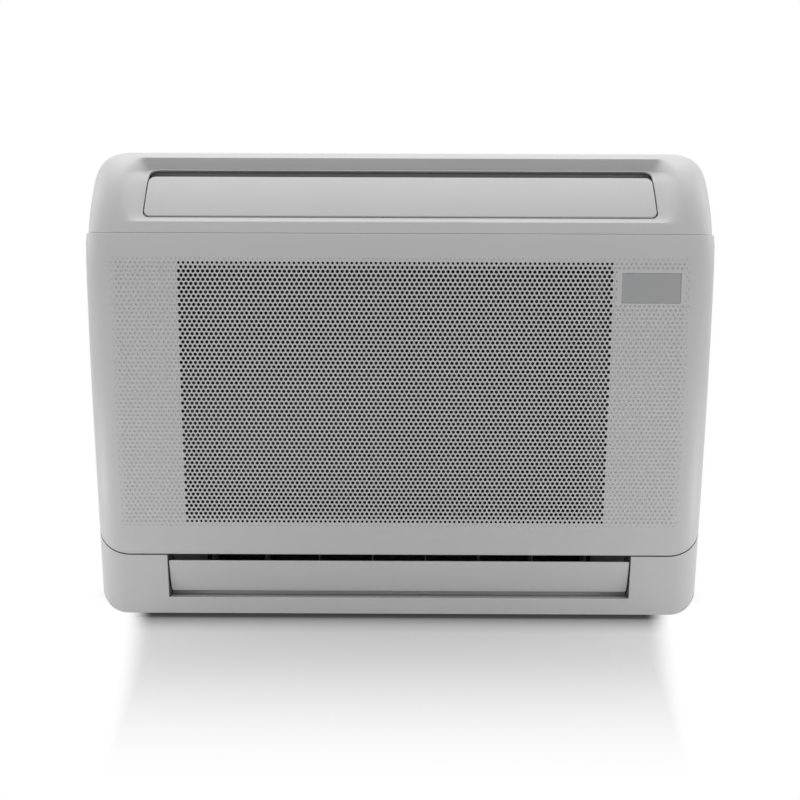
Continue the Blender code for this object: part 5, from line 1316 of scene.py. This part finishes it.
class FlapMaker:
    """A blade with a rounded outline, a crowned face, rounded edges and ribbed pockets behind."""

    END_SHARES = np.array([0.96, 0.985, 0.995, 1])
    SHARES = np.concatenate([-END_SHARES[::-1], np.linspace(-0.9, 0.9, 19), END_SHARES])
    CROWN = 0.0015
    THICKNESS = 0.0055
    # The rim behind: how far each of its rings is drawn in, and how much less deep than the blade.
    BACK_STEPS = ((0.0, 0.0004), (0.0004, 0.0), (0.0014, 0.0), (0.0018, 0.0005))
    # The pocket's floor: how far it is drawn in, and its depth.
    POCKET = (0.0020, 0.0022)
    # Ribs: depth of their feet, how far they are below the rim, half their thickness, and how far
    # their ends are inside the outline. The long rib is lower still.
    RIB_FOOT = 0.0018
    RIB_SINK = 0.0008
    RIB_HALF = 0.0011
    RIB_END = 0.002
    LONG_RIB_SINK = 0.0004
    LONG_RIB_HALF = 0.0008
    LONG_RIB_END = 0.003

    def __init__(self, form, ends, width, shape):
        self.start, self.across, self.run, self.inwards, self.size = flap_frame(form, *ends)
        self.half = width / 2
        self.radius = (shape["low"], shape["high"])
        self.edge = shape["edge"]
        self.thin_top = shape["thin_top"]
        self.flare = shape["flare"]

    def place(self, a, u, depth):
        a, u, depth = np.broadcast_arrays(a, u, depth)
        share = np.clip(u / self.size, 0, 1)
        crown = self.CROWN * (1 - (2 * share - 1) ** 2)
        taper = self.thin_top + (1 - self.thin_top) * np.clip((self.size - u) / 0.012, 0, 1)
        lift = (depth * taper - crown)[..., None]
        a = a + self.flare * share * a / self.half
        level = self.start + a[..., None] * self.across
        return level + u[..., None] * self.run + lift * self.inwards

    def rows(self, inset):
        """Heights along the run, dense where the corners turn, and the half width at each."""
        low, high = (max(r - inset, 0.0002) for r in self.radius)
        first, last = inset, self.size - inset
        turn = np.linspace(0, math.pi / 2, 9)
        u = np.concatenate(
            [
                first + low * (1 - np.cos(turn)),
                np.linspace(first + low, last - high, 9)[1:-1],
                last - high + high * np.sin(turn),
            ]
        )
        half = self.half - inset
        width = np.full(len(u), half)
        width[:9] = half - low * (1 - np.sin(turn))
        width[-9:] = half - high * (1 - np.cos(turn))
        return u, width

    def face(self, net, inset, depth, flip=False):
        u, width = self.rows(inset)
        across = width[:, None] * self.SHARES
        numbers = net.add(self.place(across, u[:, None], np.full((1, 1), depth)))
        net.rows(numbers, flip=flip)
        return self.border(numbers)

    def rim(self, inset):
        """The outline drawn in by inset, as (a, u) pairs in the same order as a face's ring."""
        u, width = self.rows(inset)
        a = width[:, None] * self.SHARES
        v = np.broadcast_to(u[:, None], a.shape)
        return self.border(np.stack([a, v], -1))

    @staticmethod
    def border(grid):
        """The grid's outer ring, in order."""
        return np.concatenate([grid[0], grid[1:, -1], grid[-1, -2::-1], grid[-2:0:-1, 0]])

    def make(self, name):
        net = Net()
        edge = self.edge
        previous = self.face(net, edge, 0.0)
        turns = np.linspace(0, math.pi / 2, 5)[1:]
        steps = [(edge * (1 - math.sin(t)), edge * (1 - math.cos(t))) for t in turns]
        steps += [(inset, self.THICKNESS - less) for inset, less in self.BACK_STEPS]
        for inset, depth in [*steps, self.POCKET]:
            outline = self.rim(inset)
            ring = net.add(self.place(outline[:, 0], outline[:, 1], np.full(len(outline), depth)))
            net.belt(previous, ring)
            previous = ring
        net.belt(previous, self.face(net, *self.POCKET, flip=True))
        return net

    def ribs(self, net, count):
        """Ribs across the hollow back, upright ones and one along its middle."""
        near, far = self.RIB_FOOT, self.THICKNESS - self.RIB_SINK
        half, low, high = self.RIB_HALF, self.RIB_END, self.size - self.RIB_END
        for i in range(1, count):
            x = -self.half + 2 * self.half * i / count
            block(net, self, x - half, x + half, low, high, near, far)
        reach, middle, half = self.half - self.LONG_RIB_END, self.size / 2, self.LONG_RIB_HALF
        far -= self.LONG_RIB_SINK
        block(net, self, -reach, reach, middle - half, middle + half, near, far)


def block(net, flap, left, right, low, high, near, far):
    """A rib in a flap's own directions, with narrowed top edges."""
    draft = RIB_DRAFT
    first = [(left, low), (right, low), (right, high), (left, high)]
    left, right, low, high = left + draft, right - draft, low + draft, high - draft
    second = [(left, low), (right, low), (right, high), (left, high)]
    rings = []
    for outline, depth in ((first, near), (second, far)):
        outline = np.array(outline)
        rings.append(net.add(flap.place(outline[:, 0], outline[:, 1], np.full(4, depth))))
    net.belt(rings[0], rings[1])
    net.face(*[rings[1][i : i + 1] for i in range(4)])


def ear(net, flap, side, axis, width):
    """The ear at one end of a flap, with its pin on the hinge axis."""
    y, z = axis
    start, run, inwards = flap.start, flap.run, flap.inwards
    foot_a, foot_b = (start + inwards * EAR_DEPTH + run * place for place in EAR_FEET)
    turns = np.linspace(-1.9, 1.7, 12)
    arc = [(y + EAR_RADIUS * math.cos(a), z + EAR_RADIUS * math.sin(a)) for a in turns]
    outline = [(foot_a[1], foot_a[2]), *arc, (foot_b[1], foot_b[2])]
    near, far = side * width / 2, side * (width / 2 - EAR_THICKNESS)
    rings = []
    for x in (near, far):
        rings.append(net.add([(x, a, b) for a, b in outline]))
    net.belt(rings[0], rings[1], flip=side > 0)
    for ring, turn in ((rings[0], side < 0), (rings[1], side > 0)):
        for i in range(1, len(ring) - 1):
            order = (ring[:1], ring[i : i + 1], ring[i + 1 : i + 2])
            net.face(*(order if not turn else order[::-1]))
    angles = np.linspace(0, 2 * math.pi, 25)[:-1]
    previous = None
    places = [(far, PIN_RINGS[0][1])]
    places += [(side * (width / 2 + reach), radius) for reach, radius in PIN_RINGS]
    for x, r in places:
        ring = net.add([(x, y + r * math.cos(a), z + r * math.sin(a)) for a in angles])
        if previous is not None:
            net.belt(previous, ring, flip=side < 0)
        previous = ring
    centre = int(net.add([(places[-1][0], y, z)])[0])
    net.fan(previous, centre, flip=side < 0)


def joint_place(name):
    return next(j["pos_m"] for j in frame["joints"] if j["name"] == name)


class CONDITIONER_OT_flaps(bpy.types.Operator):
    """Makes the upper and lower outlet flaps"""

    bl_idname = "conditioner.flaps"
    bl_label = "Outlet flaps"

    def execute(self, context):
        settings = context.scene.dressing
        form, o = Form(settings.form), settings.outlets
        finish = finish_for("casing_plastic")
        upper = {"low": 0.0082, "high": 0.009, "edge": 0.0009, "thin_top": 1.0, "flare": o.flare}
        lower = {"low": 0.003, "high": 0.0012, "edge": 0.0012, "thin_top": 0.25, "flare": 0.0}
        jobs = (
            ("upper_flap_blade", "upper_flap", upper_flap_ends(form), o.upper_width, upper),
            ("lower_flap_blade", "lower_flap", lower_flap_ends(form), o.lower_width, lower),
        )
        for name, body, ends, opening, shape in jobs:
            width = opening - 2 * o.gap
            flap = FlapMaker(form, ends, width, shape)
            net = flap.make(name)
            flap.ribs(net, 6)
            place = joint_place(body + "_hinge")
            for side in (-1, 1):
                ear(net, flap, side, (place[1], place[2]), width)
            obj = net.piece(name, finish, 40)
            dress(obj, body, "casing_plastic", body)
        return {"FINISHED"}


# Parts inside


class CONDITIONER_OT_nets(bpy.types.Operator):
    """Spans a fine net of threads both ways across each dust filter"""

    bl_idname = "conditioner.nets"
    bl_label = "Filter nets"

    def execute(self, context):
        filters = context.scene.dressing.filters
        for name in ("filter_left", "filter_right"):
            low, high = (np.array(corner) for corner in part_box(name))
            middle = (low[1] + high[1]) / 2
            low, high = low + filters.grip, high - filters.grip
            net = Net()
            for along, across, shift in ((0, 2, 0.5), (2, 0, -0.5)):
                count = int((high[across] - low[across]) / filters.pitch)
                place = low[across] + filters.pitch * np.arange(1, count)
                level = middle + shift * filters.thread
                self.threads(net, filters, low, high, (along, across), place, level)
            obj = net.piece(name.replace("filter", "filter_net"), finish_for("filter_net"))
            dress(obj, "casing", "filter_net")
        return {"FINISHED"}

    def threads(self, net, filters, low, high, axes, place, middle):
        """Straight threads of square section, one at each place, closed at both ends."""
        along, across = axes
        reach = filters.thread / math.sqrt(2)
        points = np.zeros((len(place), 4, 2, 3))
        for k, (sideways, deep) in enumerate(((-reach, 0), (0, -reach), (reach, 0), (0, reach))):
            points[:, k, :, across] = place[:, None] + sideways
            points[:, k, :, 1] = middle + deep
        points[..., 0, along] = low[along]
        points[..., 1, along] = high[along]
        numbers = net.add(points)
        first, second = numbers[..., 0], numbers[..., 1]
        if along == 0:
            first, second = second, first
        net.tubes(first, second)
        net.face(*(first[:, k] for k in (3, 2, 1, 0)))
        net.face(*(second[:, k] for k in range(4)))


class CONDITIONER_OT_inside(bpy.types.Operator):
    """Gives every other part its finish, and rounds its edges slightly"""

    bl_idname = "conditioner.inside"
    bl_label = "Inner parts"

    ROUNDING = {
        "panel_catch_left": 0.0006,
        "panel_catch_right": 0.0006,
        "display_window": 0.0003,
    }
    PLAIN_ROUNDING = 0.0004

    def execute(self, context):
        for name, obj in frame["nodes"].items():
            if obj.hide_render:
                continue
            slot = obj.material_slots[0].material.name.split(".")[0]
            if name == "rear_chassis":
                slot = "chassis_plastic"
            obj.material_slots[0].material = finish_for(slot)
            weld = obj.modifiers.new("weld", "WELD")
            weld.merge_threshold = 0.00001
            round_edges(obj, self.ROUNDING.get(name, self.PLAIN_ROUNDING), 40)
        return {"FINISHED"}


# Studio


class CONDITIONER_OT_studio(bpy.types.Operator):
    """Sets the camera, the pale floor, the soft lights and the plain room light"""

    bl_idname = "conditioner.studio"
    bl_label = "Studio"

    FLOOR_REACH = 60.0
    CORNER_REACH = 0.05
    SHADE_BEHIND = 0.7

    def execute(self, context):
        studio = context.scene.dressing.studio
        self.camera(context, studio)
        self.floor(studio)
        self.lights(studio)
        self.room(context, studio)
        context.scene.view_settings.view_transform = "Standard"
        return {"FINISHED"}

    def camera(self, context, studio):
        pitch, yaw, roll = studio.pitch, studio.yaw, studio.roll
        level = math.cos(pitch)
        forward = Vector((math.sin(yaw) * level, math.cos(yaw) * level, -math.sin(pitch)))
        right = Vector((math.cos(yaw), -math.sin(yaw), 0))
        up = right.cross(forward)
        turned_right = right * math.cos(roll) + up * math.sin(roll)
        turned_up = up * math.cos(roll) - right * math.sin(roll)
        data = bpy.data.cameras.new("camera")
        data.lens = studio.lens
        data.sensor_width = 36
        data.sensor_fit = "HORIZONTAL"
        data.clip_end = 200
        camera = placed("camera", data)
        axes = Matrix((turned_right, turned_up, -forward)).transposed().to_4x4()
        camera.matrix_world = Matrix.Translation(studio.camera) @ axes
        context.scene.camera = camera

    def floor(self, studio):
        net = Net()
        steps = np.linspace(-1, 1, 21)
        reach = self.FLOOR_REACH * np.sign(steps) * np.abs(steps) ** 3
        x, y = np.meshgrid(reach, reach)
        net.rows(net.add(np.stack([x, y, np.zeros_like(x)], -1)))
        finish = Finish("studio_floor", (studio.floor_gain,) * 3, 0.9)
        tree = finish.tree
        path = finish.node("ShaderNodeLightPath")
        seen = finish.math("MAXIMUM", path.outputs["Is Camera Ray"], path.outputs["Is Glossy Ray"])
        seen = finish.math("MAXIMUM", seen, path.outputs["Is Transmission Ray"])
        gain = finish.range(seen, studio.floor_albedo, studio.floor_gain, 0.0, 1.0)
        corner = finish.node("ShaderNodeAmbientOcclusion")
        corner.inputs["Distance"].default_value = self.CORNER_REACH
        contact = finish.math("MULTIPLY", seen, studio.floor_contact)
        shade = finish.math("POWER", corner.outputs["AO"], contact)
        surface = finish.node("ShaderNodeBsdfDiffuse")
        finish.link(finish.math("MULTIPLY", gain, shade), surface.inputs["Color"])
        bump = finish.node("ShaderNodeBump", Distance=0.00005)
        finish.link(finish.noise(0.0025), bump.inputs["Height"])
        finish.link(bump.outputs["Normal"], surface.inputs["Normal"])
        place = finish.node("ShaderNodeSeparateXYZ")
        finish.link(finish.place, place.inputs["Vector"])
        sideways = finish.math("ABSOLUTE", place.outputs["X"], 0.0)
        nearer = finish.math("MULTIPLY", place.outputs["Y"], studio.floor_splay)
        sideways = finish.math("SUBTRACT", sideways, nearer)
        zones = [
            self.zone(finish, sideways, *studio.floor_sides),
            self.zone(finish, place.outputs["Y"], *studio.floor_front),
            self.zone(finish, place.outputs["Y"], *studio.floor_back),
        ]
        away = finish.math("MAXIMUM", finish.math("MAXIMUM", zones[0], zones[1]), zones[2])
        white = finish.node("ShaderNodeEmission")
        power = finish.math("MULTIPLY", zones[2], self.SHADE_BEHIND)
        behind = finish.math("POWER", corner.outputs["AO"], power)
        finish.link(behind, white.inputs["Strength"])
        mix = finish.node("ShaderNodeMixShader")
        finish.link(finish.math("MULTIPLY", away, seen), mix.inputs["Fac"])
        least = finish.node("ShaderNodeEmission")
        finish.link(finish.math("MULTIPLY", seen, studio.floor_least), least.inputs["Strength"])
        lit = finish.node("ShaderNodeAddShader")
        finish.link(surface.outputs["BSDF"], lit.inputs[0])
        finish.link(least.outputs["Emission"], lit.inputs[1])
        finish.link(lit.outputs["Shader"], mix.inputs[1])
        finish.link(white.outputs["Emission"], mix.inputs[2])
        finish.link(mix.outputs["Shader"], tree.nodes["Material Output"].inputs["Surface"])
        tree.nodes.remove(finish.shader)
        floor = net.piece("studio_floor", finish.material)

    def zone(self, finish, source, start, end):
        """A smooth step from 0 at start to 1 at end."""
        made = finish.node("ShaderNodeMapRange", interpolation_type="SMOOTHSTEP")
        made.inputs["From Min"].default_value = start
        made.inputs["From Max"].default_value = end
        finish.link(source, made.inputs["Value"])
        return made.outputs["Result"]

    def softbox(self, name, power, size, place, target):
        light = bpy.data.lights.new(name, "AREA")
        light.energy = power
        light.shape = "RECTANGLE"
        light.size, light.size_y = size
        obj = placed(name, light)
        obj.visible_camera = False
        obj.location = place
        obj.rotation_euler = (Vector(target) - Vector(place)).to_track_quat("-Z", "Y").to_euler()

    def lights(self, studio):
        """A wide softbox overhead, one at each side, and a small low one for each bottom corner."""
        middle = (0, 0.0, 0.3)
        self.softbox("overhead", studio.overhead, (2.4, 1.6), (0, 0.15, 2.0), middle)
        for side in (-1, 1):
            name = "side_left" if side < 0 else "side_right"
            place = (side * 1.7, -0.1, 1.25)
            self.softbox(name, studio.side, (1.0, 1.2), place, middle)
            place, corner = (side * 0.80, -0.30, 0.05), (side * 0.38, -0.08, 0.04)
            self.softbox(name + "_low", studio.low, (0.2, 0.2), place, corner)

    def room(self, context, studio):
        world = bpy.data.worlds.new("room")
        world.use_nodes = True
        tree = world.node_tree
        background = tree.nodes["Background"]
        path = tree.nodes.new("ShaderNodeLightPath")
        first = tree.nodes.new("ShaderNodeMath")
        second = tree.nodes.new("ShaderNodeMath")
        for node in (first, second):
            node.operation = "MAXIMUM"
        tree.links.new(path.outputs["Is Camera Ray"], first.inputs[0])
        tree.links.new(path.outputs["Is Glossy Ray"], first.inputs[1])
        tree.links.new(first.outputs[0], second.inputs[0])
        tree.links.new(path.outputs["Is Transmission Ray"], second.inputs[1])
        level = tree.nodes.new("ShaderNodeMapRange")
        level.inputs["To Min"].default_value = studio.fill
        level.inputs["To Max"].default_value = 1.0
        tree.links.new(second.outputs[0], level.inputs["Value"])
        tree.links.new(level.outputs["Result"], background.inputs["Strength"])
        background.inputs["Color"].default_value = (1, 1, 1, 1)
        context.scene.world = world


class CONDITIONER_PT_pieces(bpy.types.Panel):
    """Lists the pieces and their settings"""

    bl_idname = "CONDITIONER_PT_pieces"
    bl_label = "Conditioner"
    bl_space_type = "VIEW_3D"
    bl_region_type = "UI"
    bl_category = "Conditioner"

    def draw(self, context):
        settings = context.scene.dressing
        for operator in OPERATORS:
            self.layout.operator(operator.bl_idname)
        for group in ("form", "outlets", "panel", "filters", "colours", "studio"):
            box = self.layout.box()
            box.label(text=group.capitalize())
            held = getattr(settings, group)
            for name in held.__annotations__:
                box.prop(held, name)


OPERATORS = (
    CONDITIONER_OT_casing,
    CONDITIONER_OT_linings,
    CONDITIONER_OT_panel,
    CONDITIONER_OT_flaps,
    CONDITIONER_OT_nets,
    CONDITIONER_OT_inside,
    CONDITIONER_OT_studio,
)
CLASSES = (
    FormSizes,
    OutletSizes,
    PanelSizes,
    FilterSizes,
    Colours,
    StudioSettings,
    Dressing,
    *OPERATORS,
    CONDITIONER_PT_pieces,
)


def register():
    for item in CLASSES:
        bpy.utils.register_class(item)
    bpy.types.Scene.dressing = PointerProperty(type=Dressing)


def unregister():
    del bpy.types.Scene.dressing
    for item in reversed(CLASSES):
        bpy.utils.unregister_class(item)


def main():
    register()
    bpy.ops.conditioner.casing()
    bpy.ops.conditioner.linings()
    bpy.ops.conditioner.panel()
    bpy.ops.conditioner.flaps()
    bpy.ops.conditioner.nets()
    bpy.ops.conditioner.inside()
    bpy.ops.conditioner.studio()


if __name__ == "__main__":
    main()
